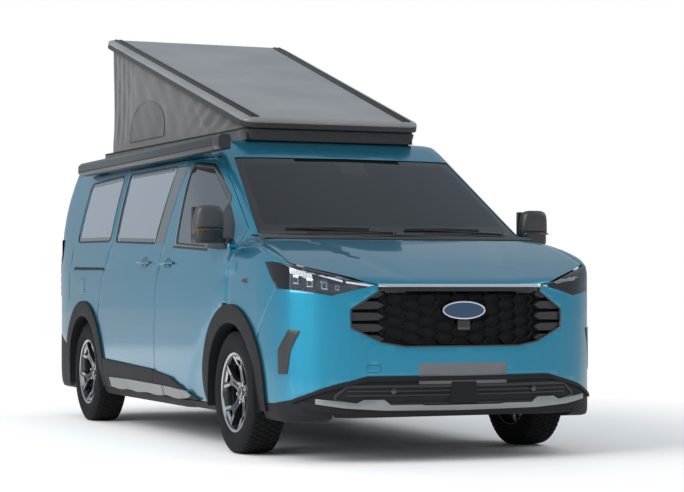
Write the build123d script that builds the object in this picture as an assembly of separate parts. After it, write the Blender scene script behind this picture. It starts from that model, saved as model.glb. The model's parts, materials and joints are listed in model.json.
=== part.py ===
from build123d import *
import math
import os

# Camper van with a lifting roof: hollow body, hinged doors, bonnet and tailgate, steered front wheels.
# Millimetres, +Z up, the front faces -Y and the van's left side is +X. The origin is on the ground, in
# the middle of the overall length and width.

# Driving dimensions ------------------------------------------------------------------------------
WHEELBASE = 3100.0
FRONT_AXLE_Y = -1525.0
REAR_AXLE_Y = FRONT_AXLE_Y + WHEELBASE
TYRE_R = 345.0
TYRE_WIDTH = 215.0
RIM_R = 226.0
TRACK_HALF = 868.0
SKIN = 60.0              # thickness of doors and outer panels
FRAME_DEPTH = 110.0      # depth of pillars, sills and roof rails
GAP = 6.0                # shut gap round everything that opens
FLANGE = 45.0            # width of the frame's step behind a door
GLASS_SET = 4.0          # glass lies this far under the outer surface
GLASS_T = 6.0
TRIM_T = 14.0            # cladding stands this far outside the paint
BUMPER_FRONT_Y = -2516.0
TAIL_Y = 2516.0
DOOR_TOP_Z = 1736.0
FLOOR_Z = 480.0          # top of the cabin floor
FLOOR_T = 50.0
ARCH_OPEN_R = 392.0      # wheel opening in the side
ARCH_TRIM_R = 497.0      # outer edge of the wheel arch cladding
LINER_R = 425.0          # inside of the wheel housing
LINER_T = 8.0
FRONT_LINER_X = TRACK_HALF - 312    # inner wall of the front wheel housing
REAR_LINER_X = TRACK_HALF - 168
KINGPIN_X = TRACK_HALF - 68
HINGE_X = 960.0          # front door hinge axis
HINGE_Y = -1425.0
HINGE_SWING_R = 40.0     # the door's front edge turns inside this radius
HINGE_SWING_FIT = 8.0    # and the pillar stands this far outside it
FENDER_REAR_Y = -1485.0  # the front wing meets the side panel here
TAILGATE_TOP_R = 34.0    # the tailgate's upper edge turns inside this radius
TAILGATE_TOP_FIT = 9.0
ROOF_HINGE_Y = -600.0
ROOF_HINGE_Z = 1950.0
ROOF_OPEN_DEG = 16.2
ROOF_PIN_R = 7.0
PIN_FIT = 0.3            # radial clearance of a pin in its eye
SHELL_T = 62.0
SHELL_FRONT_HALF = 592.0
SHELL_REAR_HALF = 702.0
PLINTH_TOP_Z = 1924.0
HUB_R = 30.0             # stub axle radius in the wheel's bore
HUB_FIT = 0.3

os.makedirs("parts", exist_ok=True)
NODES = {}

# Outlines: (y, z) seen from the side, (x, y) from above, (x, z) from the front -------------------
LOWER_SIDE = [(-2440, 250), (-2500, 330), (BUMPER_FRONT_Y, 560), (-2510, 880), (-2478, 962), (-2100, 1108),
              (-1640, 1232), (-1400, 1250), (2500, 1250), (TAIL_Y, 900), (TAIL_Y, 420), (2465, 212), (-2300, 212)]
UPPER_SIDE = [(-1600, 212), (-1600, 1180), (-1665, 1231), (-1250, 1496), (-843, 1740), (-600, 1846),
              (-300, 1876), (500, 1892), (1900, 1886), (2280, 1858), (2405, 1800), (2500, 1230),
              (TAIL_Y, 900), (TAIL_Y, 420), (2465, 212)]
PLAN = [(0, BUMPER_FRONT_Y), (300, -2500), (487, -2468), (638, -2435), (780, -2370), (905, -2250), (955, -2110),
        (985, -1900), (1000, -1400), (1000, 1700), (985, 2120), (940, 2390), (840, 2482), (560, TAIL_Y), (0, TAIL_Y + 9)]
SECTION = [(925, 212), (962, 300), (988, 450), (1000, 700), (1000, 980), (985, 1110), (965, 1235), (850, 1700),
           (830, 1760), (775, 1824), (650, 1862), (330, 1886), (0, 1893)]
SHOULDER = [(925, 212), (962, 300), (988, 450), (1000, 700), (1000, 980), (982, 1085), (940, 1165), (850, 1228),
            (700, 1262), (0, 1290)]
WINDSCREEN_SLOPE = math.atan2(1740 - 1231, -843 + 1665)
WINDSCREEN_R = 6300.0
HEADER_X = 712.0         # the roof's front corner pieces end here
PILLAR_PLANE = [(835, -1545, 1240), (790, -1180, 1464), (905, -650, 1464)]    # (x, y, z) of three points
FACET_FLOOR_Z = 1085.0


def prism(points, axis, low, high):
    """Polygon extruded along an axis, from low to high."""
    plane = {"x": Plane.YZ, "y": Plane.XZ, "z": Plane.XY}[axis]
    start = -high if axis == "y" else low      # Plane.XZ looks along -Y
    face = plane.offset(start) * make_face(Polyline(*points, close=True))
    return extrude(face, amount=high - low)


def inset_face(points, inset):
    """The face inside a closed outline, moved in by inset, or out if that is negative."""
    face = make_face(Polyline(*points, close=True))
    return offset(face, amount=-inset, kind=Kind.INTERSECTION) if inset else face


def mirrored_outline(half):
    """Closes a half outline, given from x = 0 or to x = 0, with its mirror image."""
    other = [(-x, v) for x, v in reversed(half) if abs(x) > 1e-6]
    return half + other


def slab(points, inset, axis, low, high):
    plane = {"x": Plane.YZ, "y": Plane.XZ, "z": Plane.XY}[axis]
    start = -high if axis == "y" else low
    return extrude(plane.offset(start) * inset_face(points, inset), amount=high - low)


def pillar_facet(inset):
    """What lies inside the plane that narrows the cab towards the windscreen pillar, left side."""
    a, b, c = (Vector(*point) for point in PILLAR_PLANE)
    normal = (c - a).cross(b - a).normalized()
    if normal.X < 0:
        normal = normal * -1
    plane = Plane(origin=b - normal * inset, z_dir=normal)
    return plane * Pos(0, 0, -3000) * Box(12000, 12000, 6000)


def sides(inset):
    """Both sides of the cab, narrowed ahead of the front doors' windows."""
    section = slab(mirrored_outline(SECTION), inset, "y", -2700, 2700)
    facet = pillar_facet(inset)
    below = box(-1100, 1100, -2700, 2700, 0, FACET_FLOOR_Z - inset)
    return section & ((facet & mirror(facet, about=Plane.YZ)) + below)


def envelope(inset):
    """The whole body's outer form, with every surface moved in by inset."""
    plan = slab(mirrored_outline(PLAN), inset, "z", 0, 2100)
    low = slab(LOWER_SIDE, inset, "x", -1100, 1100) & slab(mirrored_outline(SHOULDER), inset, "y", -2700, 2700)
    high = slab(UPPER_SIDE, inset, "x", -1100, 1100)
    tube = Cylinder(WINDSCREEN_R - inset, 9000)
    lean = Rot(-(90 - math.degrees(WINDSCREEN_SLOPE)), 0, 0)
    centre = WINDSCREEN_R
    base = Vector(0, -1665, 1231)
    normal = Vector(0, math.sin(WINDSCREEN_SLOPE), -math.cos(WINDSCREEN_SLOPE))
    high = high & (Pos(*(base + normal * centre)) * lean * tube)
    return plan & ((high & sides(inset)) + (low & slab(mirrored_outline(SECTION), inset, "y", -2700, 2700)))


ENVELOPES = {}


def body(inset):
    if inset not in ENVELOPES:
        ENVELOPES[inset] = envelope(inset)
    return ENVELOPES[inset]


def skin(first, last):
    """Everything between two depths under the outer surface."""
    return body(first) - body(last)


def box(x0, x1, y0, y1, z0, z1):
    return Pos((x0 + x1) / 2, (y0 + y1) / 2, (z0 + z1) / 2) * Box(x1 - x0, y1 - y0, z1 - z0)


def disc(axis, at, radius, length):
    """Cylinder about a point, with its axis along x, y or z."""
    turn = {"x": Rot(0, 90, 0), "y": Rot(90, 0, 0), "z": Rot(0, 0, 0)}[axis]
    return Pos(*at) * turn * Cylinder(radius, length)


def keep(name, shape):
    NODES[name] = shape



def wheel_drum(axle_y, radius, x0=0.0, x1=1200.0):
    """Cylinder about a wheel's axis, on the left."""
    return disc("x", ((x0 + x1) / 2, axle_y, TYRE_R), radius, x1 - x0)


def left_prism(points, x0=0.0, inset=0.0):
    """Side outline (y, z) extruded across the left half."""
    return slab(points, inset, "x", x0, 1200)


def across_prism(points, y0, y1, inset=0.0):
    """Front outline (x, z) extruded along the van."""
    return slab(points, inset, "y", y0, y1)


def mirrored(shape):
    return mirror(shape, about=Plane.YZ)


def keep_pair(name, shape):
    keep(name + "_left", shape)
    keep(name + "_right", mirrored(shape))


def join(shapes):
    total = shapes[0]
    for shape in shapes[1:]:
        total = total + shape
    return total


def x_hinge_lug(x, y, z, foot_z, half=11.0, thick=14.0):
    """Upright ear with a bore about an axis along x."""
    ear = box(x - thick / 2, x + thick / 2, y - half, y + half, foot_z, z) + disc("x", (x, y, z), half, thick)
    return ear - disc("x", (x, y, z), ROOF_PIN_R + PIN_FIT, thick + 2)


# Outlines of openings, (y, z) ---------------------------------------------------------------------
DOOR_HOLE = [(-30, 256), (-30, 1739), (-695, 1733), (-1130, 1464), (-1431, 1276), (HINGE_Y - HINGE_SWING_R, 1262),
             (HINGE_Y - HINGE_SWING_R, 256)]
DOOR_THROUGH = [(-75, FLOOR_Z), (-75, 1692), (-660, 1686), (-1080, 1428), (HINGE_Y + FLANGE, 1242),
                (HINGE_Y + FLANGE, FLOOR_Z)]
SLIDER_THROUGH = [(-400, FLOOR_Z), (-400, 1694), (955, 1694), (940, 1225), (1030, 1080), (1070, 980), (1090, 880),
                  (1150, 790), (1210, 700), (1210, FLOOR_Z)]
DOOR_GLASS = [(-446, 1203), (-401, 1688), (-672, 1662), (-1052, 1448), (-1040, 1172)]
SLIDER_HOLE = [(-400, 256), (-400, 1739), (1000, 1739), (985, 1235), (1075, 1090), (1115, 990), (1135, 900),
               (1190, 820), (1260, 700), (1260, 256)]
SLIDER_GLASS = [(3, 1222), (-118, 1694), (925, 1694), (905, 1250)]
QUARTER_GLASS = [(1052, 1258), (1062, 1694), (1850, 1676), (1878, 1640), (1893, 1268)]
DOOR_CLADDING = [(-20, 262), (-20, 419), (-397, 389), (-891, 264)]
SLIDER_CLADDING = [(-200, 268), (-200, 405), (-31, 419), (1074, 452), (1074, 268)]
# Outlines seen from the front, (x, z)
WINDSCREEN = [(-827, 1244), (0, 1234), (827, 1244), (708, 1722), (0, 1736), (-708, 1722)]
TAILGATE = [(-868, 425), (-868, 1180), (-762, 1720), (-742, 1900), (742, 1900), (762, 1720), (868, 1180), (868, 425)]
TAILGATE_GLASS = [(-770, 1240), (-690, 1690), (690, 1690), (770, 1240)]
LAMP = [(493, 946), (610, 921), (723, 890), (948, 929), (1020, 1085), (890, 1066), (826, 1042)]
LAMP_SIDE = [(-2700, 860), (-2200, 880), (-2134, 928), (-2008, 1084), (-2700, 1084)]
GRILLE = [(-487, 949), (-487, 917), (-634, 820), (-634, 717), (-466, 637), (-340, 615), (340, 615), (466, 637),
          (634, 717), (634, 820), (487, 917), (487, 949)]
BONNET_FRONT = [(-888, 1070), (-826, 1048), (-493, 955), (493, 955), (826, 1048), (888, 1070), (888, 1300), (-888, 1300)]
BUMPER_SIDE = [(-2700, 1000), (-2134, 928), (-1890, 640), (-1890, 200), (-2700, 200)]
LOWER_TRIM = [(-1100, 200), (-1100, 301), (-984, 301), (-757, 403), (-539, 462), (539, 462), (757, 403), (984, 301),
              (1100, 301), (1100, 200)]
REAR_BUMPER_SIDE = [(1990, 190), (2060, 525), (2290, 590), (2700, 590), (2700, 190)]

TAILGATE_THROUGH = [(-823, FLOOR_Z), (-823, 1175), (-720, 1690), (720, 1690), (823, 1175), (823, FLOOR_Z)]

# Depths through the body wall
FRAME_STEP = SKIN + 12.0       # the frame's step that doors close on
DOOR_SWEEP = [(100, 1389), (546, 1334), (924, 1276), (1739, 1191), (2000, 1191)]     # (z, radius about hinge)


def door_sweep(extra):
    """What a front door's rear edge may fill: a turned solid about the left hinge."""
    radii = []
    for z, radius in DOOR_SWEEP:
        radii.append((radius + extra, z))
    outline = [(0, DOOR_SWEEP[0][0])] + radii + [(0, DOOR_SWEEP[-1][0])]
    face = Plane.XZ * make_face(Polyline(*outline, close=True))
    return Pos(HINGE_X, HINGE_Y, 0) * revolve(face, Axis.Z)


DOOR_ARC_R = ARCH_TRIM_R + 8.0
FRONT_DOOR_ARC_R = ARCH_TRIM_R + 12.0
DOOR_TOE = [(-1500, 600), (-1500, 849), (HINGE_Y + 46, 849), (HINGE_Y + 59, 600)]
LEFT_HALF = box(0, 1300, -2700, 2700, 0, 2900)


def left_skin(first, last):
    return skin(first, last) & LEFT_HALF


print("envelope")
SKIN_LEFT = left_skin(0, SKIN)
WALL_LEFT = left_skin(0, FRAME_DEPTH)
OUTSIDE_STEP = LEFT_HALF - body(FRAME_STEP)
SWEEP = door_sweep(0)
SWEEP_GAP = door_sweep(GAP)
SWEEP_IN = door_sweep(-FLANGE)
SWEEP_OUT = door_sweep(GAP + FLANGE)
HINGE_CYLINDER = Pos(HINGE_X, HINGE_Y, 900) * Cylinder(HINGE_SWING_R, 1800)
AHEAD_OF_HINGE = box(600, 1200, HINGE_Y - 200, HINGE_Y, 100, 1900)
HINGE_HEIGHTS = [930.0, 1170.0]
HINGE_LUG_T = 16.0
HINGE_PIN_R = 7.0


INBOARD = sides(SKIN) & box(0, 1200, -2700, 2700, 1250, 2000)
INBOARD = INBOARD + box(0, 872, -2700, 2700, 100, 420) + box(0, 1200, -2700, 2700, 1733, 2100)
INBOARD = INBOARD + box(0, HEADER_X + GAP, -2700, 2700, 1700 - GAP, 2100)


def front_door():
    zone = left_prism(DOOR_HOLE, 700, GAP) - wheel_drum(FRONT_AXLE_Y, FRONT_DOOR_ARC_R) - left_prism(DOOR_TOE, 600)
    door = (SKIN_LEFT & zone & SWEEP) - (AHEAD_OF_HINGE - HINGE_CYLINDER)
    door = door - left_prism(DOOR_GLASS, 600) - INBOARD
    for z in HINGE_HEIGHTS:
        pocket = box(HINGE_X - 110, HINGE_X + 13, HINGE_Y - 75, HINGE_Y + 13, z - 14, z + 14)
        door = door - pocket + (Pos(HINGE_X, HINGE_Y, z) * Cylinder(HINGE_PIN_R, 30))
    cladding = left_skin(-TRIM_T, 0) & left_prism(DOOR_CLADDING, 800) & SWEEP
    return door + (cladding - wheel_drum(FRONT_AXLE_Y, FRONT_DOOR_ARC_R))


def door_lugs():
    """The ears on the front pillar that carry the left door's pins."""
    lugs = []
    for z in HINGE_HEIGHTS:
        ear = box(HINGE_X - 90, HINGE_X, HINGE_Y - 11, HINGE_Y + 11, z - HINGE_LUG_T / 2, z + HINGE_LUG_T / 2)
        ear = ear + Pos(HINGE_X, HINGE_Y, z) * Cylinder(11, HINGE_LUG_T)
        lugs.append(ear - Pos(HINGE_X, HINGE_Y, z) * Cylinder(HINGE_PIN_R + PIN_FIT, 40))
    return join(lugs)


ROOF_EDGE_X = 775.0
ROOF_SEAM_Z = DOOR_TOP_Z + 3
ROOF_ZONE = box(-ROOF_EDGE_X, ROOF_EDGE_X, -900, 2700, ROOF_SEAM_Z, 2100)
ROOF_ZONE = ROOF_ZONE + box(-HEADER_X, HEADER_X, -900, 2700, 1700, 1800)
TAILGATE_HINGE = (2330.0, 1800.0)
BONNET_HINGE = (-1720.0, 1185.0)
BONNET_TOP_R = 26.0
TAILGATE_LUG_X = 520.0
BONNET_LUG_X = 640.0


def tailgate_zone(inset, radius):
    zone = across_prism(TAILGATE, 2100, 2700, inset)
    cylinder = disc("x", (0, *TAILGATE_HINGE), radius, 2000)
    behind = zone & box(-1000, 1000, TAILGATE_HINGE[0], 2700, 200, 1990)
    return behind + (zone & cylinder)


def body_side():
    zone = box(HEADER_X, 1100, FENDER_REAR_Y, 2600, 190, 1235)
    zone = zone + box(HEADER_X, 1100, -1700, 2600, 1235, 2000)
    side = WALL_LEFT & zone
    pillar_inner = body(PILLAR_DEPTH)
    pillar = (body(SKIN) - pillar_inner) & box(700, 1100, -1590, FENDER_REAR_Y, 300, 1330)
    post = (body(FRAME_STEP) - pillar_inner) & box(700, 1100, -1590, HINGE_Y + FLANGE, 300, 1330)
    side = side + pillar + post
    side = side - ROOF_ZONE - across_prism(WINDSCREEN, -1900, -700) - box(0, 780, -2700, 2700, 100, FLOOR_Z - FLOOR_T)
    for hole, through_hole, centre in ((DOOR_HOLE, DOOR_THROUGH, FRONT_AXLE_Y),
                                       (SLIDER_HOLE, SLIDER_THROUGH, REAR_AXLE_Y)):
        opening = left_prism(hole, 600) - wheel_drum(centre, DOOR_ARC_R - GAP)
        through = left_prism(through_hole, 600) - wheel_drum(centre, DOOR_ARC_R + FLANGE)
        if centre == FRONT_AXLE_Y:
            opening = opening & SWEEP_GAP
            through = through & SWEEP_IN
        else:
            opening = opening - SWEEP
            through = through - SWEEP_OUT
        side = side - ((opening & OUTSIDE_STEP) - INBOARD_STEP - AHEAD_OF_SWING) - through
    side = side - left_prism(QUARTER_GLASS, 600)
    side = side - SWING_ROOM
    for axle in (FRONT_AXLE_Y, REAR_AXLE_Y):
        side = side - wheel_drum(axle, ARCH_OPEN_R)
        side = side - (wheel_drum(axle, LINER_R + LINER_T) & body(SKIN))
    side = side - (tailgate_zone(-GAP, TAILGATE_TOP_R + TAILGATE_TOP_FIT) - body(FRAME_STEP))
    side = side - across_prism(TAILGATE_THROUGH, 2100, 2700)
    side = side - (left_prism(REAR_BUMPER_SIDE) & SKIN_LEFT) - (TAIL_LAMP_ZONE & SKIN_LEFT)
    return side + door_lugs()


PILLAR_DEPTH = 190.0
INBOARD_STEP = sides(FRAME_STEP) & box(0, 1200, -2700, 2700, 1250, 2000)
SWING_CYLINDER = Pos(HINGE_X, HINGE_Y, 900) * Cylinder(HINGE_SWING_R + HINGE_SWING_FIT, 1800)
AHEAD_OF_SWING = box(600, 1200, HINGE_Y - 200, HINGE_Y - GAP, 100, 1900) - SWING_CYLINDER
SWING_ROOM = SWING_CYLINDER & box(600, 1200, -1600, -1300, 843, 1290)
TAIL_LAMP_ZONE = box(880, 1100, 2330, 2700, 870, 1290)


def sliding_door():
    zone = left_prism(SLIDER_HOLE, 700, GAP) - wheel_drum(REAR_AXLE_Y, DOOR_ARC_R) - SWEEP_GAP
    door = (left_skin(0, FRAME_STEP) & zone) - left_prism(SLIDER_GLASS, 600)
    door = door - box(0, 860, -2700, 2700, 100, 420) - box(0, ROOF_EDGE_X, -2700, 2700, ROOF_SEAM_Z - GAP, 2100)
    return door


def glass_in(points):
    return (left_skin(GLASS_SET, GLASS_SET + GLASS_T) & left_prism(points, 600)) - INBOARD


print("sides")
SIDE_LEFT = body_side()
AWNING_Y = (-1119.0, 2001.0)
keep_pair("body_side", SIDE_LEFT)
DOOR_LEFT = front_door()
keep_pair("front_door", DOOR_LEFT)
keep_pair("front_door_glass", glass_in(DOOR_GLASS))
keep_pair("sliding_door", sliding_door())
side_glass = glass_in(SLIDER_GLASS) + glass_in(QUARTER_GLASS)
keep("side_glass", side_glass + mirrored(side_glass))

# Mirrors: housing on an arm that stands on the door's sail


def door_mirror():
    housing = box(1030, 1137, -1372, -1240, 1182, 1407)
    housing = fillet(housing.edges(), 34)
    arm = prism([(-1330, 1188), (-1330, 1226), (-1240, 1226), (-1240, 1188)], "x", 900, 1050)
    return (housing + arm) - body(0)


keep_pair("door_mirror", door_mirror())

print("roof")
ROOF_OPENING = box(-520, 520, -350, 1950, 1600, 2000)


def roof_panel():
    middle = skin(0, SKIN) & ROOF_ZONE
    ends = skin(0, FRAME_DEPTH) & ROOF_ZONE & (box(-1000, 1000, -900, -640, 1600, 2100)
                                               + box(-1000, 1000, 2100, 2600, 1600, 2100))
    roof = (middle + ends) - across_prism(WINDSCREEN, -1900, -700) - ROOF_OPENING
    roof = roof - (tailgate_zone(-GAP, TAILGATE_TOP_R + TAILGATE_TOP_FIT) - body(FRAME_STEP))
    roof = roof - across_prism(TAILGATE_THROUGH, 2100, 2700)
    roof = roof - box(-800, 800, 2100, 2600, 1500, 1700)
    for x in (-TAILGATE_LUG_X, TAILGATE_LUG_X):
        roof = roof + x_hinge_lug(x, *TAILGATE_HINGE, TAILGATE_HINGE[1] - 50)
    return roof


ROOF_PANEL = roof_panel()
keep("roof_panel", ROOF_PANEL)
PLINTH_Y = (-610.0, 2170.0)


def trapezoid(front_y, rear_y, front_half, rear_half):
    return [(-front_half, front_y), (front_half, front_y), (rear_half, rear_y), (-rear_half, rear_y)]


def roof_frame():
    """Ring on the roof that the shell closes over and the canvas stands on."""
    ring = slab(trapezoid(*PLINTH_Y, 556, 672), 0, "z", 1700, PLINTH_TOP_Z)
    ring = ring - slab(trapezoid(-550, 1990, 528, 640), 0, "z", 1600, 2000) - body(0)
    for x in (-ROOF_LUG_X, ROOF_LUG_X):
        ring = ring + x_hinge_lug(x, ROOF_HINGE_Y, ROOF_HINGE_Z, PLINTH_TOP_Z - 14)
    return ring


ROOF_LUG_X = 430.0
SHELL_FRONT_Y = -655.0
SHELL_REAR_Y = SHELL_FRONT_Y + 2840.0
RIM_BOTTOM_Z = PLINTH_TOP_Z + GAP
SHELL_UNDER_Z = 1970.0
SHELL_TOP_Z = RIM_BOTTOM_Z + SHELL_T
RIM_T = 22.0


def raised(shape):
    """Turns what is modelled closed to its open place."""
    there = Pos(0, ROOF_HINGE_Y, ROOF_HINGE_Z)
    back = Pos(0, -ROOF_HINGE_Y, -ROOF_HINGE_Z)
    return there * Rot(ROOF_OPEN_DEG, 0, 0) * back * shape


def roof_shell():
    outline = trapezoid(SHELL_FRONT_Y, SHELL_REAR_Y, SHELL_FRONT_HALF, SHELL_REAR_HALF)
    block = slab(outline, 0, "z", RIM_BOTTOM_Z, SHELL_TOP_Z)
    block = fillet(block.edges().filter_by(Axis.Z), 70)
    top = block.faces().sort_by(Axis.Z)[-1]
    block = chamfer(top.edges(), 14, 30)
    hollow = slab(outline, RIM_T, "z", RIM_BOTTOM_Z - 1, SHELL_UNDER_Z)
    hollow = fillet(hollow.edges().filter_by(Axis.Z), 30)
    shell = block - hollow
    for x in (-ROOF_LUG_X, ROOF_LUG_X):
        for side in (-1, 1):
            centre = x + side * 18
            web = box(centre - 5, centre + 5, ROOF_HINGE_Y - 12, ROOF_HINGE_Y + 12, ROOF_HINGE_Z, SHELL_UNDER_Z + 2)
            shell = shell + web + disc("x", (centre, ROOF_HINGE_Y, ROOF_HINGE_Z), 12, 10)
        shell = shell + disc("x", (x, ROOF_HINGE_Y, ROOF_HINGE_Z), ROOF_PIN_R, 46)
    return raised(shell)


def roof_canvas():
    slope = math.radians(ROOF_OPEN_DEG)
    under = SHELL_UNDER_Z - ROOF_HINGE_Z
    front, rear = -540.0, 2026.0

    def top(y):
        return ROOF_HINGE_Z + under * math.cos(slope) + math.tan(slope) * (y - ROOF_HINGE_Y + under * math.sin(slope))

    outer = [(front, PLINTH_TOP_Z), (rear, PLINTH_TOP_Z), (rear, top(rear) - 1), (front, top(front) - 1)]
    plan = trapezoid(front, rear, 548, 660)
    wedge = slab(outer, 0, "x", -800, 800) & slab(plan, 0, "z", 1800, 2900)
    room = slab(plan, CANVAS_T, "z", 1800, 2900)
    return wedge - room


CANVAS_T = 6.0
keep("roof_frame", roof_frame())
keep("roof_shell", roof_shell())
keep("roof_canvas", roof_canvas())


def awning():
    """Cassette on the right roof edge, with three brackets."""
    profile = [(-838, 1745), (-905, 1745), (-925, 1765), (-925, 1815), (-900, 1838), (-850, 1838), (-838, 1826)]
    case = slab(profile, 0, "y", *AWNING_Y)
    for y in (-620.0, 620.0, 1860.0):
        case = case + (box(-850, -770, y - 40, y + 40, 1760, 1822) - body(0))
    return case


keep("awning_cassette", awning())

print("front")
WINDSCREEN_PRISM = across_prism(WINDSCREEN, -1900, -700)
keep("windscreen", skin(GLASS_SET, GLASS_SET + GLASS_T) & WINDSCREEN_PRISM)
BONNET_AREA = across_prism(BONNET_FRONT, -2700, -1560)


def bonnet():
    ahead = BONNET_AREA & box(-1000, 1000, -2700, BONNET_HINGE[0], 900, 1400)
    lid = skin(0, SKIN) & (ahead + (BONNET_AREA & disc("x", (0, *BONNET_HINGE), BONNET_TOP_R, 2000)))
    lid = lid & box(-1000, 1000, -2700, -1500, 900, 1400)
    y, z = BONNET_HINGE
    for x in (-BONNET_LUG_X, BONNET_LUG_X):
        lid = lid - box(x - 13, x + 13, y - 18, y + 40, z - 60, z + 14) + disc("x", (x, y, z), ROOF_PIN_R, 28)
    return lid


def bonnet_clearance():
    grown = across_prism(BONNET_FRONT, -2700, -1560, -GAP)
    ahead = grown & box(-1000, 1000, -2700, BONNET_HINGE[0], 900, 1400)
    sweep = disc("x", (0, *BONNET_HINGE), BONNET_TOP_R + GAP, 2000) & grown
    return ahead + sweep


BONNET_CLEAR = bonnet_clearance()
keep("bonnet", bonnet())
LAMP_ZONE = across_prism(LAMP, -2700, -1950) & left_prism(LAMP_SIDE, 400)
GRILLE_ZONE = across_prism(GRILLE, -2700, -2200)
LOWER_ZONE = across_prism(LOWER_TRIM, -2700, -1900)
lamp = (left_skin(0, 100) & LAMP_ZONE) - BONNET_CLEAR
keep("headlamps", lamp + mirrored(lamp))
keep("grille", (skin(6, 40) & GRILLE_ZONE) - LAMP_ZONE - mirrored(LAMP_ZONE) - BONNET_CLEAR)
ARCH_LEFT = wheel_drum(FRONT_AXLE_Y, ARCH_OPEN_R)


TOW_EYE_X = -508.0
TOW_EYE_Z = 505.0
TOW_EYE_R = 11.0
TOW_EYE_DEPTH = 55.0


def bumper():
    half = (SKIN_LEFT & left_prism(BUMPER_SIDE)) - LAMP_ZONE - GRILLE_ZONE - LOWER_ZONE - BONNET_CLEAR - ARCH_LEFT
    half = half & box(0, 1100, -2700, -1880, 255, 1000)
    return half + mirrored(half) - disc("y", (TOW_EYE_X, -2450, TOW_EYE_Z), 18, 200)


def bumper_lower():
    half = (SKIN_LEFT & left_prism(BUMPER_SIDE) & LOWER_ZONE) - ARCH_LEFT - box(-1, 720, -2400, -1800, 100, 310)
    half = half - wheel_drum(FRONT_AXLE_Y, LINER_R + LINER_T)
    return half + mirrored(half)


def fender():
    zone = box(850, 1100, -2500, FENDER_REAR_Y, 300, 1300)
    wing = (SKIN_LEFT & zone) - left_prism(BUMPER_SIDE) - LAMP_ZONE - BONNET_CLEAR - ARCH_LEFT
    wing = wing - box(600, 1100, -1700, -1400, 1235, 1400) - SIDE_LEFT
    return wing


keep("front_bumper", bumper())
keep("front_bumper_lower", bumper_lower())
wing = fender()
keep("front_fenders", wing + mirrored(wing))


def firewall():
    """Wall behind the engine with the scuttle under the windscreen."""
    room = body(SKIN)
    wall = box(-900, 900, -1400, -1360, FLOOR_Z - FLOOR_T, 1150) & room
    shelf = box(-845, 845, -1700, -1360, 1118, 1150) & room
    plenum = (body(0) & box(-845, 845, -1700, -1590, 1118, 1236)) - WINDSCREEN_PRISM - BONNET_CLEAR
    parts = wall + shelf + plenum - disc("x", (0, *BONNET_HINGE), BONNET_TOP_R + GAP, 1680)
    y, z = BONNET_HINGE
    for x in (-BONNET_LUG_X, BONNET_LUG_X):
        parts = parts + x_hinge_lug(x, y, z, 1118) + box(x - 7, x + 7, y - 11, -1690, 1118, 1136)
    parts = parts - NODES["body_side_left"] - NODES["body_side_right"]
    for side in (1, -1):
        parts = parts - disc("x", (side * (FRONT_LINER_X + 300), FRONT_AXLE_Y, TYRE_R), LINER_R + LINER_T, 616)
    return parts - SWING_ROOM - mirrored(SWING_ROOM)


keep("firewall", firewall())


def front_structure():
    """Radiator carrier, crash beam and the two rails to the firewall."""
    carrier = box(-700, 700, -2400, -2370, 330, 880) - box(-560, 560, -2410, -2360, 400, 830)
    radiator = box(-560, 560, -2395, -2375, 400, 830)
    rails = box(400, 470, -2390, -1400, 400, 500) + box(-470, -400, -2390, -1400, 400, 500)
    beam = box(-640, 640, -2440, -2390, 470, 560)
    eye = disc("y", (TOW_EYE_X, -2375, TOW_EYE_Z), 20, 70)
    carriers = (carrier + radiator + rails + beam + eye) & body(SKIN)
    return carriers - disc("y", (TOW_EYE_X, -2400, TOW_EYE_Z), TOW_EYE_R, 2 * TOW_EYE_DEPTH)


keep("front_structure", front_structure())

print("rear")


def tailgate():
    lid = skin(0, SKIN) & tailgate_zone(GAP, TAILGATE_TOP_R)
    lid = lid - across_prism(TAILGATE_GLASS, 2200, 2700)
    y, z = TAILGATE_HINGE
    for x in (-TAILGATE_LUG_X, TAILGATE_LUG_X):
        lid = lid - box(x - 13, x + 13, y - 60, y + 18, z - 60, z + 14) + disc("x", (x, y, z), ROOF_PIN_R, 28)
    return lid


keep("tailgate", tailgate())
keep("tailgate_glass", skin(GLASS_SET, GLASS_SET + GLASS_T) & across_prism(TAILGATE_GLASS, 2200, 2700))
lamp_rear = SKIN_LEFT & TAIL_LAMP_ZONE
keep("tail_lamps", lamp_rear + mirrored(lamp_rear))


def rear_bumper():
    half = (SKIN_LEFT & left_prism(REAR_BUMPER_SIDE)) - wheel_drum(REAR_AXLE_Y, LINER_R + LINER_T)
    half = half - tailgate_zone(-GAP, TAILGATE_TOP_R + TAILGATE_TOP_FIT)
    half = half - box(-1, 860, 1800, 2440, 100, 300)
    return half + mirrored(half)


keep("rear_bumper", rear_bumper())


def floor_pan():
    pan = box(-1000, 1000, -1360, 2400, FLOOR_Z - FLOOR_T, FLOOR_Z) & body(FRAME_DEPTH)
    for side in (1, -1):
        for axle, inner in ((FRONT_AXLE_Y, FRONT_LINER_X), (REAR_AXLE_Y, REAR_LINER_X)):
            x0 = inner - LINER_T
            pan = pan - disc("x", (side * (x0 + 300), axle, TYRE_R), LINER_R + LINER_T, 600)
    return pan


keep("floor_pan", floor_pan())

print("wheels")


def liner(axle_y, inner_x):
    shell = wheel_drum(axle_y, LINER_R + LINER_T, inner_x - LINER_T, 1000) - wheel_drum(axle_y, LINER_R, inner_x, 1001)
    shell = (shell & body(SKIN)) - box(0, 1100, axle_y - 600, axle_y + 600, 0, 262)
    shell = shell - box(inner_x - 20, inner_x + 1, axle_y - 95, axle_y + 95, 180, 520)
    return shell


liners = liner(FRONT_AXLE_Y, FRONT_LINER_X) + liner(REAR_AXLE_Y, REAR_LINER_X)
keep("wheel_liners", liners + mirrored(liners))


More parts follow.
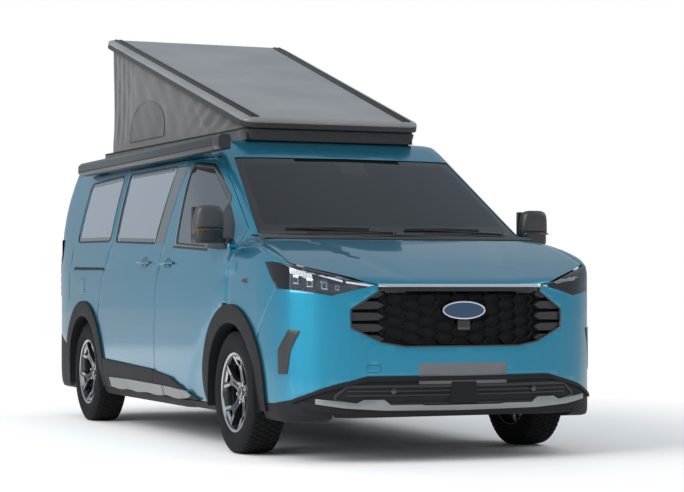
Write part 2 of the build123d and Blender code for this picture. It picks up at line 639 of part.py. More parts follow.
def tyre(x, y):
    half = TYRE_WIDTH / 2
    outline = [(-half + 12, RIM_R), (-half, RIM_R + 22), (-half, 300), (-half + 12, 330), (-half + 30, TYRE_R),
               (half - 30, TYRE_R), (half - 12, 330), (half, 300), (half, RIM_R + 22), (half - 12, RIM_R)]
    face = Plane.XZ * make_face(Polyline(*outline, close=True))
    ring = revolve(face, Axis.X)
    return Pos(x, y, TYRE_R) * ring


SPOKES = 5
DISC_X = -17.0


def rim(side, y):
    barrel = disc("x", (0, 0, 0), RIM_R, TYRE_WIDTH - 24) - disc("x", (0, 0, 0), RIM_R - 20, TYRE_WIDTH)
    hub = disc("x", (25, 0, 0), 78, 106) - disc("x", (-7, 0, 0), HUB_R + HUB_FIT, 86)
    brake = disc("x", (DISC_X, 0, 0), 150, 22) - disc("x", (DISC_X, 0, 0), 60, 30)
    face_disc = disc("x", (62, 0, 0), RIM_R - 10, 28) - disc("x", (62, 0, 0), 60, 40)
    for spoke in range(SPOKES):
        angle = 360 / SPOKES * spoke
        window = prism([(-30, 96), (-92, 190), (92, 190), (30, 96)], "x", 0, 120)
        face_disc = face_disc - Rot(angle, 0, 0) * window
    wheel = barrel + hub + brake + face_disc
    wheel = Pos(TRACK_HALF, y, TYRE_R) * wheel
    return wheel if side > 0 else mirrored(wheel)


for axle_name, axle_y in (("front", FRONT_AXLE_Y), ("rear", REAR_AXLE_Y)):
    for side_name, side in (("left", 1), ("right", -1)):
        keep("tyre_" + axle_name + "_" + side_name, tyre(side * TRACK_HALF, axle_y))
        keep("rim_" + axle_name + "_" + side_name, rim(side, axle_y))

ARM_Z = ((195.0, 217.0), (473.0, 495.0))
KINGPIN_R = 12.0


def knuckle():
    """Upright between the two arms, with the stub axle and the brake caliper."""
    middle = (ARM_Z[0][1] + 1, ARM_Z[1][0] - 1)
    post = Pos(KINGPIN_X, 0, sum(middle) / 2) * Cylinder(21, middle[1] - middle[0])
    pins = Pos(KINGPIN_X, 0, (ARM_Z[0][0] + ARM_Z[1][1]) / 2) * Cylinder(KINGPIN_R, ARM_Z[1][1] - ARM_Z[0][0])
    stub = disc("x", (KINGPIN_X + 50, 0, TYRE_R), HUB_R, 100)
    caliper = box(TRACK_HALF - 56, TRACK_HALF + 20, 96, 160, TYRE_R - 45, TYRE_R + 45) - disc("x", (TRACK_HALF + DISC_X, 0, TYRE_R), 157, 36)
    bridge = box(TRACK_HALF - 88, TRACK_HALF - 44, -12, 130, TYRE_R - 20, TYRE_R + 20)
    bridge = bridge - disc("x", (TRACK_HALF + DISC_X, 0, TYRE_R), 157, 36)
    return Pos(0, FRONT_AXLE_Y, 0) * (post + pins + stub + caliper + bridge)


keep_pair("front_knuckle", knuckle())


def front_subframe():
    """Cross-member with the upper and lower arms of both sides."""
    member = box(-500, 500, FRONT_AXLE_Y - 90, FRONT_AXLE_Y + 90, 240, 300)
    half = None
    for low, high in ARM_Z:
        arm = box(470, KINGPIN_X, -34, 34, low, high) + Pos(KINGPIN_X, 0, (low + high) / 2) * Cylinder(34, high - low)
        arm = arm - Pos(KINGPIN_X, 0, (low + high) / 2) * Cylinder(KINGPIN_R + PIN_FIT, 60)
        half = arm if half is None else half + arm
    tower = box(470, 520, -60, 60, 195, 495)
    half = Pos(0, FRONT_AXLE_Y, 0) * (half + tower)
    return member + half + mirrored(half)


keep("front_subframe", front_subframe())


def rear_axle():
    beam = disc("x", (0, REAR_AXLE_Y, TYRE_R), 38, 2 * TRACK_HALF - 136)
    beam = beam + disc("x", (0, REAR_AXLE_Y, TYRE_R), HUB_R, 2 * TRACK_HALF + 64)
    feet = box(520, 600, REAR_AXLE_Y - 45, REAR_AXLE_Y + 45, TYRE_R, FLOOR_Z - FLOOR_T)
    return beam + feet + mirrored(feet)


keep("rear_axle", rear_axle())


def engine():
    block = box(-380, 380, -2330, -1640, 330, 900)
    feet = box(-300, 300, -1700, -1460, 300, 400)
    return block + feet


keep("engine_block", engine())

print("cladding")


def cladding():
    layer = left_skin(-TRIM_T, 0)
    parts = []
    for axle in (FRONT_AXLE_Y, REAR_AXLE_Y):
        ring = wheel_drum(axle, ARCH_TRIM_R) - wheel_drum(axle, ARCH_OPEN_R)
        parts.append((layer & ring) - box(0, 1200, axle - 600, axle + 600, 100, 262))
    strip = (layer & left_prism(SLIDER_CLADDING, 800)) - door_sweep(GAP + 2) - wheel_drum(REAR_AXLE_Y, ARCH_TRIM_R)
    return parts[0] + parts[1] + strip


clad = cladding()
keep("body_cladding", clad + mirrored(clad))

print("inside")


def dashboard():
    shape = prism([(-1360, 820), (-1160, 800), (-1120, 900), (-1120, 1080), (-1200, 1120), (-1360, 1115)], "x", -860, 860)
    shape = shape & body(FRAME_DEPTH + 5)
    column = Pos(*STEERING_CENTRE) * Rot(-STEERING_TILT, 0, 0) * Pos(0, 0, -160) * Cylinder(18, 290)
    return (shape + column) - NODES["firewall"]


STEERING_CENTRE = (430.0, -960.0, 1065.0)
STEERING_TILT = 40.0


def steering_wheel():
    ring = Torus(186, 14)
    hub = Pos(0, 0, -22) * Cylinder(42, 50)
    spokes = box(-180, 180, -16, 16, -10, 6) + box(-16, 16, -180, 0, -10, 6)
    wheel = ring + hub + spokes - (Pos(0, 0, -60) * Cylinder(18 + PIN_FIT, 100))
    return Pos(*STEERING_CENTRE) * Rot(-STEERING_TILT, 0, 0) * wheel


keep("steering_wheel", steering_wheel())
keep("dashboard", dashboard())


def seat(x, y):
    base = box(x - 230, x + 230, y - 200, y + 230, FLOOR_Z, 640)
    cushion = box(x - 260, x + 260, y - 260, y + 260, 640, 760)
    back = prism([(y + 130, 700), (y + 260, 1340), (y + 380, 1340), (y + 280, 700)], "x", x - 250, x + 250)
    head = prism([(y + 255, 1370), (y + 290, 1560), (y + 370, 1560), (y + 375, 1370)], "x", x - 140, x + 140)
    posts = box(x - 60, x - 45, y + 305, y + 320, 1330, 1400) + box(x + 45, x + 60, y + 305, y + 320, 1330, 1400)
    return base + cushion + back + head + posts


keep("front_seats", seat(430, -560) + seat(-430, -560))


def bench():
    base = box(-640, 420, 1180, 1620, FLOOR_Z, 620)
    cushion = box(-650, 430, 1080, 1640, 620, 750)
    back = prism([(1560, 690), (1660, 1330), (1760, 1330), (1700, 690)], "x", -650, 430)
    cabinet = box(470, 690, 60, 2150, FLOOR_Z, 1190)
    return (base + cushion + back + cabinet)


keep("cabin_furniture", bench())

for name, shape in NODES.items():
    export_step(shape, "parts/" + name + ".step")
    print(name, len(shape.solids()), round(shape.volume / 1e6, 2))
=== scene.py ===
import json
import math

import bmesh
import bpy
import numpy as np
from mathutils import Matrix, Vector
from mathutils.geometry import delaunay_2d_cdt

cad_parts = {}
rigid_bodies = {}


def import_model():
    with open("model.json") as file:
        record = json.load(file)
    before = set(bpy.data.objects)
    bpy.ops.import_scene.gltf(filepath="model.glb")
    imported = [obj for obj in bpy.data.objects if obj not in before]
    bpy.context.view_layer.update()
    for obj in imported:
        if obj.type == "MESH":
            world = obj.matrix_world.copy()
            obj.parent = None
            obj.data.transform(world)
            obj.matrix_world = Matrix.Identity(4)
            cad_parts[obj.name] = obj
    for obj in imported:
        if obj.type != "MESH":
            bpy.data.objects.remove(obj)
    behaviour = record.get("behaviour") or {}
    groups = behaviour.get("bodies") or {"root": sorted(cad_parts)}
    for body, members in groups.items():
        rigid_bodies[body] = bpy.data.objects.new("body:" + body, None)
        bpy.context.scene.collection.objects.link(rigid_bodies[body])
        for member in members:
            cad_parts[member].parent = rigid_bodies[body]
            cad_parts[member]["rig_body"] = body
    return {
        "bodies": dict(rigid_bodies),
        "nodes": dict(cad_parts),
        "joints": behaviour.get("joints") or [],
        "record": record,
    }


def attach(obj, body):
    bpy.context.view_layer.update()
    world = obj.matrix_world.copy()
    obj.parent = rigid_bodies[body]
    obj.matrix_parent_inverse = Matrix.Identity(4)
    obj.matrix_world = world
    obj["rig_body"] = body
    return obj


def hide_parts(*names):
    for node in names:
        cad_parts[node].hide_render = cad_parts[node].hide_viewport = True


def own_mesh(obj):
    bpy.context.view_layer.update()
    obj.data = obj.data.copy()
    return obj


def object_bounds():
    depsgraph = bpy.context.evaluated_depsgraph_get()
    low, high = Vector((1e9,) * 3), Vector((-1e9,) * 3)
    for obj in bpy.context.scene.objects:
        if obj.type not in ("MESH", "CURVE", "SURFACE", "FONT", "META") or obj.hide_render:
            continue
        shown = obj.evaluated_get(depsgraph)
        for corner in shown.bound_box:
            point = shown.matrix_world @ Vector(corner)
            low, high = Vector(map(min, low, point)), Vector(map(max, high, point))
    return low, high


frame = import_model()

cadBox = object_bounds()
nodes = frame["nodes"]

# the body's form, in metres: the same outlines as the panels, blended where they meet
form = {
    "planOutline": [(0, -2.516), (0.3, -2.5), (0.487, -2.468), (0.638, -2.435), (0.78, -2.37), (0.905, -2.25),
                    (0.955, -2.11), (0.985, -1.9), (1.0, -1.4), (1.0, 1.7), (0.985, 2.12), (0.94, 2.39),
                    (0.84, 2.482), (0.56, 2.516), (0, 2.525)],
    "section": [(0.925, 0.212), (0.962, 0.3), (0.988, 0.45), (1.0, 0.7), (1.0, 0.98), (0.985, 1.11),
                (0.965, 1.235), (0.85, 1.7), (0.83, 1.76), (0.775, 1.824), (0.65, 1.862), (0.33, 1.886),
                (0, 1.893)],
    "shoulder": [(0.925, 0.212), (0.962, 0.3), (0.988, 0.45), (1.0, 0.7), (1.0, 0.98), (0.982, 1.085),
                 (0.94, 1.165), (0.85, 1.228), (0.7, 1.262), (0, 1.29)],
    "noseSide": [(-2.44, 0.25), (-2.5, 0.33), (-2.516, 0.56), (-2.51, 0.88), (-2.478, 0.962), (-2.1, 1.108),
                 (-1.64, 1.232), (-1.4, 1.25), (2.5, 1.25), (2.516, 0.9), (2.516, 0.42), (2.465, 0.212),
                 (-2.3, 0.212)],
    "cabSide": [(-1.665, 1.231), (-1.25, 1.496), (-0.843, 1.74), (-0.6, 1.846), (-0.3, 1.876), (0.5, 1.892),
                (1.9, 1.886), (2.28, 1.858), (2.405, 1.8), (2.5, 1.23), (2.516, 0.9), (2.516, 0.42),
                (2.465, 0.212), (-0.6, 0.212)],
    "glassRadius": 6.3,
    "glassFoot": (-1.665, 1.231),
    "glassHead": (-0.843, 1.74),
    "pillarPlane": [(0.835, -1.545, 1.24), (0.79, -1.18, 1.464), (0.905, -0.65, 1.464)],
    "pillarFloor": 1.085,
    "softness": 0.011,       # how far edges are rounded into each other
    "sideCrease": [(-1.45, 1.012), (1.9, 1.126)],
    "creaseDepth": 0.007,
    "creaseBand": 0.11,
    "bonnetCrease": [(0.30, -2.47), (0.60, -1.72)],
    "bonnetRise": 0.006,
    "doorPin": (0.960, -1.425),      # x and y of the front doors' pins
    "gatePin": (2.330, 1.800),       # y and z of the tailgate's pins
}


def halfPlanes(points, closed=True):
    # outward unit normals and offsets of a convex outline
    pts = np.array(points, float)
    nxt = np.roll(pts, -1, axis=0)
    area = np.sum(pts[:, 0] * nxt[:, 1] - nxt[:, 0] * pts[:, 1])
    turn = 1.0 if area > 0 else -1.0
    rows = []
    for i in range(len(pts) if closed else len(pts) - 1):
        a, b = pts[i], nxt[i]
        d = b - a
        n = np.array([d[1], -d[0]]) * turn / np.linalg.norm(d)
        rows.append((n[0], n[1], -n @ a))
    return np.array(rows)


planeSets = {
    "plan": halfPlanes(form["planOutline"], closed=False),
    "section": halfPlanes(form["section"], closed=False),
    "shoulder": halfPlanes(form["shoulder"], closed=False),
    "nose": halfPlanes(form["noseSide"]),
    "cab": halfPlanes(form["cabSide"]),
}
glassSlope = math.atan2(form["glassHead"][1] - form["glassFoot"][1],
                        form["glassHead"][0] - form["glassFoot"][0])
glassNormal = np.array([0, math.sin(glassSlope), -math.cos(glassSlope)])
glassCentre = np.array([0, *form["glassFoot"]]) + glassNormal * form["glassRadius"]
corners = [np.array(p) for p in form["pillarPlane"]]
pillarNormal = np.cross(corners[2] - corners[0], corners[1] - corners[0])
pillarNormal = pillarNormal / np.linalg.norm(pillarNormal)
if pillarNormal[0] < 0:
    pillarNormal = -pillarNormal


def planeValues(name, u, v):
    rows = planeSets[name]
    return rows[:, 0][None] * u[:, None] + rows[:, 1][None] * v[:, None] + rows[:, 2][None]


def softMax(values, k):
    top = values.max(axis=1, keepdims=True)
    return (top + k * np.log(np.exp((values - top) / k).sum(axis=1, keepdims=True)))[:, 0]


def softMin(a, b, k):
    return -softMax(np.stack([-a, -b], axis=1), k)


def bodyDepth(p, k=None, creases=True):
    # signed distance to the body's outer surface, negative inside
    k = k or form["softness"]
    x, y, z = np.abs(p[:, 0]), p[:, 1], p[:, 2]
    plan = planeValues("plan", x, y)
    low = softMax(np.concatenate([plan, planeValues("nose", y, z), planeValues("shoulder", x, z)], axis=1), k)
    rel = np.stack([np.zeros_like(x), y - glassCentre[1], z - glassCentre[2]], axis=1)
    across = rel @ glassNormal
    glass = np.sqrt(across ** 2 + x ** 2) - form["glassRadius"]
    pillar = np.stack([x, y, z], axis=1) @ pillarNormal - corners[0] @ pillarNormal
    pillar = np.minimum(pillar, (z - form["pillarFloor"]) * 0.8)
    parts = [plan, planeValues("cab", y, z), planeValues("section", x, z), glass[:, None], pillar[:, None]]
    high = softMax(np.concatenate(parts, axis=1), k)
    depth = softMin(low, high, k)
    return depth + surfaceLines(x, y, z) if creases else depth


def surfaceLines(x, y, z):
    # creases pressed into the panels: the side line and the bonnet's two ridges
    (ya, za), (yb, zb) = form["sideCrease"]
    line = za + (zb - za) * (y - ya) / (yb - ya)
    below = np.clip((line - z) / form["creaseBand"], 0, 1)
    sharp = np.where(z < line, (1 - below) ** 2, np.clip(1 - (z - line) / 0.02, 0, 1))
    along = np.clip((y - ya + 0.25) / 0.25, 0, 1) * np.clip((yb + 0.3 - y) / 0.3, 0, 1)
    side = form["creaseDepth"] * sharp * along * (x > 0.86)
    (xa, yc), (xb, yd) = form["bonnetCrease"]
    ridge = xa + (xb - xa) * (y - yc) / (yd - yc)
    inner = np.clip((ridge - x) / 0.16, 0, 1)
    fade = np.clip((y + 2.5) / 0.2, 0, 1) * np.clip((-1.70 - y) / 0.1, 0, 1) * (z > 0.93)
    bonnet = form["bonnetRise"] * np.where(x < ridge, (1 - inner) ** 2,
                                           np.clip(1 - (x - ridge) / 0.02, 0, 1)) * fade
    return side + bonnet


def sharpDepth(p):
    return bodyDepth(p, k=0.0004, creases=False)


def gradient(field, p, step=0.002):
    out = np.zeros_like(p)
    for axis in range(3):
        shift = np.zeros(3)
        shift[axis] = step
        out[:, axis] = (field(p + shift) - field(p - shift)) / (2 * step)
    return out


def shaped(p):
    # moves points of a sharp-edged panel to the same depth under the rounded surface
    want = sharpDepth(p)
    q = p.copy()
    for _ in range(4):
        g = gradient(bodyDepth, q)
        size = np.maximum((g ** 2).sum(axis=1), 0.3)
        q = q - g * ((bodyDepth(q) - want) / size)[:, None]
    # what turns about the door and tailgate pins keeps its exact place there
    door = np.hypot(np.abs(p[:, 0]) - form["doorPin"][0], p[:, 1] - form["doorPin"][1])
    gate = np.hypot(p[:, 1] - form["gatePin"][0], p[:, 2] - form["gatePin"][1])
    share = np.minimum(np.clip((door - 0.021) / 0.006, 0, 1), np.clip((gate - 0.048) / 0.02, 0, 1))
    return p + (q - p) * share[:, None]


def placed(name, mesh):
    obj = bpy.data.objects.new(name, mesh)
    bpy.context.scene.collection.objects.link(obj)
    return obj


def settle(obj, body=None, angle=32, replaces=()):
    # smooth shading between sharp edges, the body it rides and the nodes it stands for
    if angle:
        obj.data.shade_smooth()
        obj.data.set_sharp_from_angle(angle=math.radians(angle))
    if body:
        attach(obj, body)
    for node in replaces:
        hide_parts(node)
    return obj


def meshObject(name, verts, faces, material, smooth=True, angle=40):
    mesh = bpy.data.meshes.new(name)
    mesh.from_pydata([tuple(v) for v in verts], [], [tuple(int(i) for i in f) for f in faces])
    return finishMesh(name, mesh, material, smooth, angle)


def finishMesh(name, mesh, material, smooth=True, angle=40):
    bm = bmesh.new()
    bm.from_mesh(mesh)
    bmesh.ops.remove_doubles(bm, verts=bm.verts, dist=1e-6)
    bmesh.ops.recalc_face_normals(bm, faces=bm.faces)
    bm.to_mesh(mesh)
    bm.free()
    mesh.materials.clear()
    for m in (material if isinstance(material, (list, tuple)) else [material]):
        mesh.materials.append(m)
    return settle(placed(name, mesh), None, angle if smooth else 0)


def applyModifiers(obj):
    graph = bpy.context.evaluated_depsgraph_get()
    mesh = bpy.data.meshes.new_from_object(obj.evaluated_get(graph))
    obj.modifiers.clear()
    obj.data = mesh
    return obj


def addBevel(obj, width, segments=2, angle=35):
    mod = obj.modifiers.new("edge", "BEVEL")
    mod.width = width
    mod.segments = segments
    mod.limit_method = "ANGLE"
    mod.angle_limit = math.radians(angle)
    mod.harden_normals = False
    return applyModifiers(obj)


def refine(bm, step, axes="xyz"):
    # cuts a mesh along an even grid, which leaves its edges where they are
    for axis in ("xyz".index(a) for a in axes):
        values = [v.co[axis] for v in bm.verts]
        low, high = min(values), max(values)
        count = int((high - low) / step)
        normal = [0, 0, 0]
        normal[axis] = 1
        for i in range(1, count + 1):
            at = [0, 0, 0]
            at[axis] = low + i * (high - low) / (count + 1)
            geom = bm.verts[:] + bm.edges[:] + bm.faces[:]
            bmesh.ops.bisect_plane(bm, geom=geom, plane_co=at, plane_no=normal, dist=1e-5)


def panelMesh(node, step):
    # a copy of a CAD panel, merged and cut fine enough to bend
    bm = bmesh.new()
    bm.from_mesh(nodes[node].data)
    bmesh.ops.remove_doubles(bm, verts=bm.verts, dist=2e-5)
    bmesh.ops.dissolve_limit(bm, angle_limit=math.radians(0.6), verts=bm.verts, edges=bm.edges)
    refine(bm, step)
    bmesh.ops.triangulate(bm, faces=[f for f in bm.faces if len(f.verts) > 4])
    return bm


def shapedPanel(node, material, step=0.045, edge=0.0022):
    # a CAD panel given the rounded surface, with eased edges
    bm = panelMesh(node, step)
    for v, c in zip(bm.verts, shaped(np.array([v.co for v in bm.verts], float))):
        v.co = c
    mesh = bpy.data.meshes.new(node + "Panel")
    bm.to_mesh(mesh)
    bm.free()
    obj = finishMesh(node + "Panel", mesh, material, smooth=False)
    if edge:
        obj = addBevel(obj, edge, 2, 50)
    return settle(obj, nodes[node]["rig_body"], 32, [node])


def outlineTriangles(outer, holes, step):
    # fills an outline with a grid of points, leaving the holes open
    loops = [list(outer), *map(list, holes)]
    pts, edges = [], []
    for loop in loops:
        start = len(pts)
        for i, a in enumerate(loop):
            b = loop[(i + 1) % len(loop)]
            n = max(1, int(math.dist(a, b) / step))
            for k in range(n):
                pts.append(Vector((a[0] + (b[0] - a[0]) * k / n, a[1] + (b[1] - a[1]) * k / n)))
        count = len(pts) - start
        edges += [(start + k, start + (k + 1) % count) for k in range(count)]
    border = len(pts)
    arr = np.array(outer)
    for u in np.arange(arr[:, 0].min() + step / 2, arr[:, 0].max(), step):
        for v in np.arange(arr[:, 1].min() + step / 2, arr[:, 1].max(), step):
            if inside((u, v), outer) and not any(inside((u, v), h) for h in holes):
                if min(math.hypot(p[0] - u, p[1] - v) for p in pts[:border]) > step * 0.45:
                    pts.append(Vector((u, v)))
    found = delaunay_2d_cdt(pts, edges, [], 0, 1e-7)
    flat, faces = found[0], found[2]
    kept = []
    for f in faces:
        mid = (sum(flat[i][0] for i in f) / 3, sum(flat[i][1] for i in f) / 3)
        if inside(mid, outer) and not any(inside(mid, h) for h in holes):
            kept.append(tuple(f))
    return [tuple(p) for p in flat], kept


def inside(p, loop):
    hit = False
    for i, a in enumerate(loop):
        b = loop[i - 1]
        if (a[1] > p[1]) != (b[1] > p[1]) and p[0] < (b[0] - a[0]) * (p[1] - a[1]) / (b[1] - a[1]) + a[0]:
            hit = not hit
    return hit


def rounded(loop, radius, parts=5):
    # an outline with its corners rounded; radius may be a list, one for each corner
    out = []
    count = len(loop)
    for i in range(count):
        r = radius[i] if isinstance(radius, (list, tuple)) else radius
        a, b, c = Vector(loop[i - 1]), Vector(loop[i]), Vector(loop[(i + 1) % count])
        u, v = (a - b), (c - b)
        lu, lv = u.length, v.length
        if r <= 0 or lu < 1e-6 or lv < 1e-6:
            out.append(tuple(b))
            continue
        u, v = u / lu, v / lv
        half = math.acos(max(-1, min(1, u.dot(v)))) / 2
        cut = min(r / math.tan(half) if half > 0.02 else 0, lu * 0.48, lv * 0.48)
        p, q = b + u * cut, b + v * cut
        for k in range(parts + 1):
            t = k / parts
            out.append(tuple(p * (1 - t) ** 2 + b * 2 * t * (1 - t) + q * t * t))
    return out


def smoothLine(points, step=0.02, closed=False):
    # a curve through the points
    pts = [Vector(p) for p in points]
    out = []
    count = len(pts)
    last = count if closed else count - 1
    for i in range(last):
        p0 = pts[(i - 1) % count] if closed or i > 0 else pts[0] * 2 - pts[1]
        p1, p2 = pts[i], pts[(i + 1) % count]
        p3 = pts[(i + 2) % count] if closed or i + 2 < count else p2 * 2 - p1
        n = max(1, int((p2 - p1).length / step))
        for k in range(n):
            t = k / n
            bend, twist = p0 * 2 - p1 * 5 + p2 * 4 - p3, p1 * 3 - p0 - p2 * 3 + p3
            a = p1 * 2 + (p2 - p0) * t + bend * t * t + twist * t ** 3
            out.append(tuple(a * 0.5))
    if not closed:
        out.append(tuple(pts[-1]))
    return out


def offsetLoop(loop, amount):
    # an outline moved outward by amount (inward when negative)
    pts = np.array(loop, float)
    area = sum(pts[i - 1][0] * pts[i][1] - pts[i][0] * pts[i - 1][1] for i in range(len(pts)))
    sign = 1 if area > 0 else -1
    out = []
    for i in range(len(pts)):
        a, b, c = pts[i - 1], pts[i], pts[(i + 1) % len(pts)]
        n1 = np.array([b[1] - a[1], a[0] - b[0]]) * sign
        n2 = np.array([c[1] - b[1], b[0] - c[0]]) * sign
        n1, n2 = n1 / max(np.linalg.norm(n1), 1e-9), n2 / max(np.linalg.norm(n2), 1e-9)
        m = n1 + n2
        m = m / max(m @ m, 0.2) * 2
        out.append(tuple(b + m * amount))
    return out


def slabFaces(faces, count):
    # the faces of a plate: its top, the same below and the wall round them
    edges = dict.fromkeys((f[i], f[(i + 1) % 3]) for f in faces for i in range(3))
    wall = [(a, b, b + count, a + count) for a, b in edges if (b, a) not in edges]
    return [tuple(f) for f in faces] + [tuple(i + count for i in reversed(f)) for f in faces] + wall


def firstInside(at, level, reach):
    # how far along its own line each point first lies deeper than its level
    count = len(level)
    low, last, found = np.full(count, reach), np.zeros(count), np.zeros(count, bool)
    for t in np.linspace(0, reach, 80)[1:]:
        hit = (~found) & (bodyDepth(at(t)) - level < 0)
        low[hit], last[hit] = t, t - reach / 79
        found |= hit
    for _ in range(14):
        mid = (low + last) / 2
        deep = bodyDepth(at(mid)) - level < 0
        low, last = np.where(deep, mid, low), np.where(deep, last, mid)
    return low


def onSurface(flat, view, level, side=1):
    # pairs seen from the side (y, z) or from the front or rear (x, z), carried onto the body at a given depth
    axis, start, reach = {"side": (0, 1.02 * side, 2.4 * side), "front": (1, -2.56, -1.6),
                          "rear": (1, 2.56, 1.6)}[view]
    p = np.insert(np.array(flat, float), axis, start, axis=1)

    def at(t):
        q = p.copy()
        q[:, axis] = start - reach * t
        return q

    return at(firstInside(at, np.asarray(level, float) + np.zeros(len(p)), 1.0))


def surfacePatch(name, outer, view, outerLevel, innerLevel, material, holes=(), step=0.05, side=1, edge=0.0,
                 body="body", angle=32):
    # a plate that follows the body between two depths
    flat, faces = outlineTriangles(outer, holes, step)
    verts = [*onSurface(flat, view, outerLevel, side), *onSurface(flat, view, innerLevel, side)]
    obj = meshObject(name, verts, slabFaces(faces, len(flat)), material, smooth=False)
    if edge:
        obj = addBevel(obj, edge, 2, 50)
    return settle(obj, body, angle)


def mirroredLoop(half):
    # closes an outline given for the left, x falling to 0 or not, on the other side
    return list(half) + [(-a, b) for a, b in reversed(half)]


def joined(name, objs, body=None):
    # one mesh from several
    bpy.ops.object.select_all(action="DESELECT")
    for o in objs:
        o.select_set(True)
    bpy.context.view_layer.objects.active = objs[0]
    if len(objs) > 1:
        bpy.ops.object.join()
    obj = bpy.context.view_layer.objects.active
    obj.name = name
    obj.data.name = name
    return settle(obj, body, 0)


def boxMesh(name, low, high, material, edge=0.0, segments=2, turn=None, body=None):
    x0, y0, z0 = low
    x1, y1, z1 = high
    verts = [(x, y, z) for x in (x0, x1) for y in (y0, y1) for z in (z0, z1)]
    faces = [(0, 1, 3, 2), (4, 6, 7, 5), (0, 4, 5, 1), (2, 3, 7, 6), (0, 2, 6, 4), (1, 5, 7, 3)]
    if turn is not None:
        verts = [tuple(turn @ Vector(v)) for v in verts]
    obj = meshObject(name, verts, faces, material, smooth=False)
    if edge:
        obj = addBevel(obj, edge, segments, 30)
    return settle(obj, body, 40)


def lathe(name, profile, material, axis="x", centre=(0, 0, 0), segments=96, closed=True, angle=35, body=None):
    # profile: (along, radius) pairs turned about the axis
    verts, faces = [], []
    count = len(profile)
    for k in range(segments):
        t = 2 * math.pi * k / segments
        c, s = math.cos(t), math.sin(t)
        for along, r in profile:
            if axis == "x":
                v = (along, r * c, r * s)
            elif axis == "y":
                v = (r * s, along, r * c)
            else:
                v = (r * c, r * s, along)
            verts.append((v[0] + centre[0], v[1] + centre[1], v[2] + centre[2]))
    for k in range(segments):
        for i in range(count if closed else count - 1):
            j = (i + 1) % count
            a, b = k * count + i, k * count + j
            c, d = ((k + 1) % segments) * count + j, ((k + 1) % segments) * count + i
            faces.append((a, b, c, d))
    return settle(meshObject(name, verts, faces, material, smooth=True, angle=angle), body, 0)


def tube(name, path, radius, material, segments=12, body=None, flat=1.0):
    # a bar along a path; flat squeezes its section
    pts = [Vector(p) for p in path]
    verts, faces = [], []
    ref = Vector((0, 0, 1))
    for i, p in enumerate(pts):
        d = (pts[min(i + 1, len(pts) - 1)] - pts[max(i - 1, 0)]).normalized()
        u = d.cross(ref)
        u = u.normalized() if u.length > 1e-3 else d.cross(Vector((1, 0, 0))).normalized()
        v = u.cross(d).normalized()
        r = radius[i] if isinstance(radius, (list, tuple)) else radius
        for k in range(segments):
            t = 2 * math.pi * k / segments
            verts.append(tuple(p + u * (r * math.cos(t)) + v * (r * flat * math.sin(t))))
    for i in range(len(pts) - 1):
        for k in range(segments):
            a, b = i * segments + k, i * segments + (k + 1) % segments
            faces.append((a, b, b + segments, a + segments))
    faces.append(tuple(range(segments - 1, -1, -1)))
    faces.append(tuple((len(pts) - 1) * segments + k for k in range(segments)))
    return settle(meshObject(name, verts, faces, material, smooth=True, angle=50), body, 0)


def prismMesh(name, loop, axis, low, high, material, edge=0.0, body=None, angle=35, segments=2):
    # a flat outline pushed along an axis; loop holds the other two coordinates in order
    count = len(loop)
    verts = []
    for w in (low, high):
        for a, b in loop:
            verts.append({"x": (w, a, b), "y": (a, w, b), "z": (a, b, w)}[axis])
    faces = [tuple(range(count)), tuple(range(2 * count - 1, count - 1, -1))]
    faces += [(i, (i + 1) % count, (i + 1) % count + count, i + count) for i in range(count)]
    obj = meshObject(name, verts, faces, material, smooth=False)
    if edge:
        obj = addBevel(obj, edge, segments, 30)
    return settle(obj, body, angle)


def ellipse(across, up, half, high, count):
    turns = np.linspace(0, 2 * math.pi, count, endpoint=False)
    return [(across + half * math.cos(t), up + high * math.sin(t)) for t in turns]


def evenSteps(loop, step):
    # a closed outline with its long stretches cut into steps
    path = []
    for i, a in enumerate(loop):
        b = loop[(i + 1) % len(loop)]
        n = max(1, int(math.dist(a, b) / step))
        path += [(a[0] + (b[0] - a[0]) * k / n, a[1] + (b[1] - a[1]) * k / n) for k in range(n)]
    return path


def mirrorMesh(mesh):
    mesh.transform(Matrix.Scale(-1, 4, (1, 0, 0)))
    mesh.flip_normals()
    return mesh


def mirrorCopy(obj, name):
    return placed(name, mirrorMesh(obj.data.copy()))


def heldBehind(obj, half, low, high, y):
    # keeps what lies within half of the middle and between two heights behind a plate's back
    for v in obj.data.vertices:
        if abs(v.co.x) < half and low < v.co.z < high:
            v.co.y = max(v.co.y, y) if y < 0 else min(v.co.y, y)


# finishes, as linear colours
finish = {
    "paintColour": (0.006, 0.235, 0.37), "paintDeep": (0.003, 0.125, 0.205), "paintRough": 0.38,
    "roofGrey": (0.165, 0.168, 0.170), "canvasGrey": (0.058, 0.058, 0.058),
    "glassTint": (0.22, 0.26, 0.28), "privacyTint": (0.12, 0.15, 0.175),
    "awningGrey": (0.060, 0.061, 0.063), "silver": (0.26, 0.265, 0.27),
    "paintMetallic": 0.70, "paintFlakes": 900, "coat": 0.85, "coatRough": 0.035, "orangePeel": 0.0006,
    "printBlack": (0.006, 0.006, 0.007),
}


def put(tree, node, inputs):
    # links or sets a node's inputs by name or number
    for key, value in inputs.items():
        if isinstance(value, bpy.types.NodeSocket):
            tree.links.new(value, node.inputs[key])
        else:
            node.inputs[key].default_value = value
    return node


def addNode(tree, kind, inputs):
    return put(tree, tree.nodes.new(kind), inputs)


def newMaterial(name):
    mat = bpy.data.materials.new(name)
    mat.use_nodes = True
    tree = mat.node_tree
    return mat, tree, tree.nodes["Principled BSDF"], tree.nodes.new("ShaderNodeTexCoord").outputs["Object"]


def noiseOf(tree, vector, scale, detail=3.0, stretch=None):
    if stretch:
        vector = addNode(tree, "ShaderNodeMapping", {"Scale": stretch, "Vector": vector}).outputs["Vector"]
    return addNode(tree, "ShaderNodeTexNoise",
                   {"Scale": scale, "Detail": detail, "Vector": vector}).outputs["Fac"]


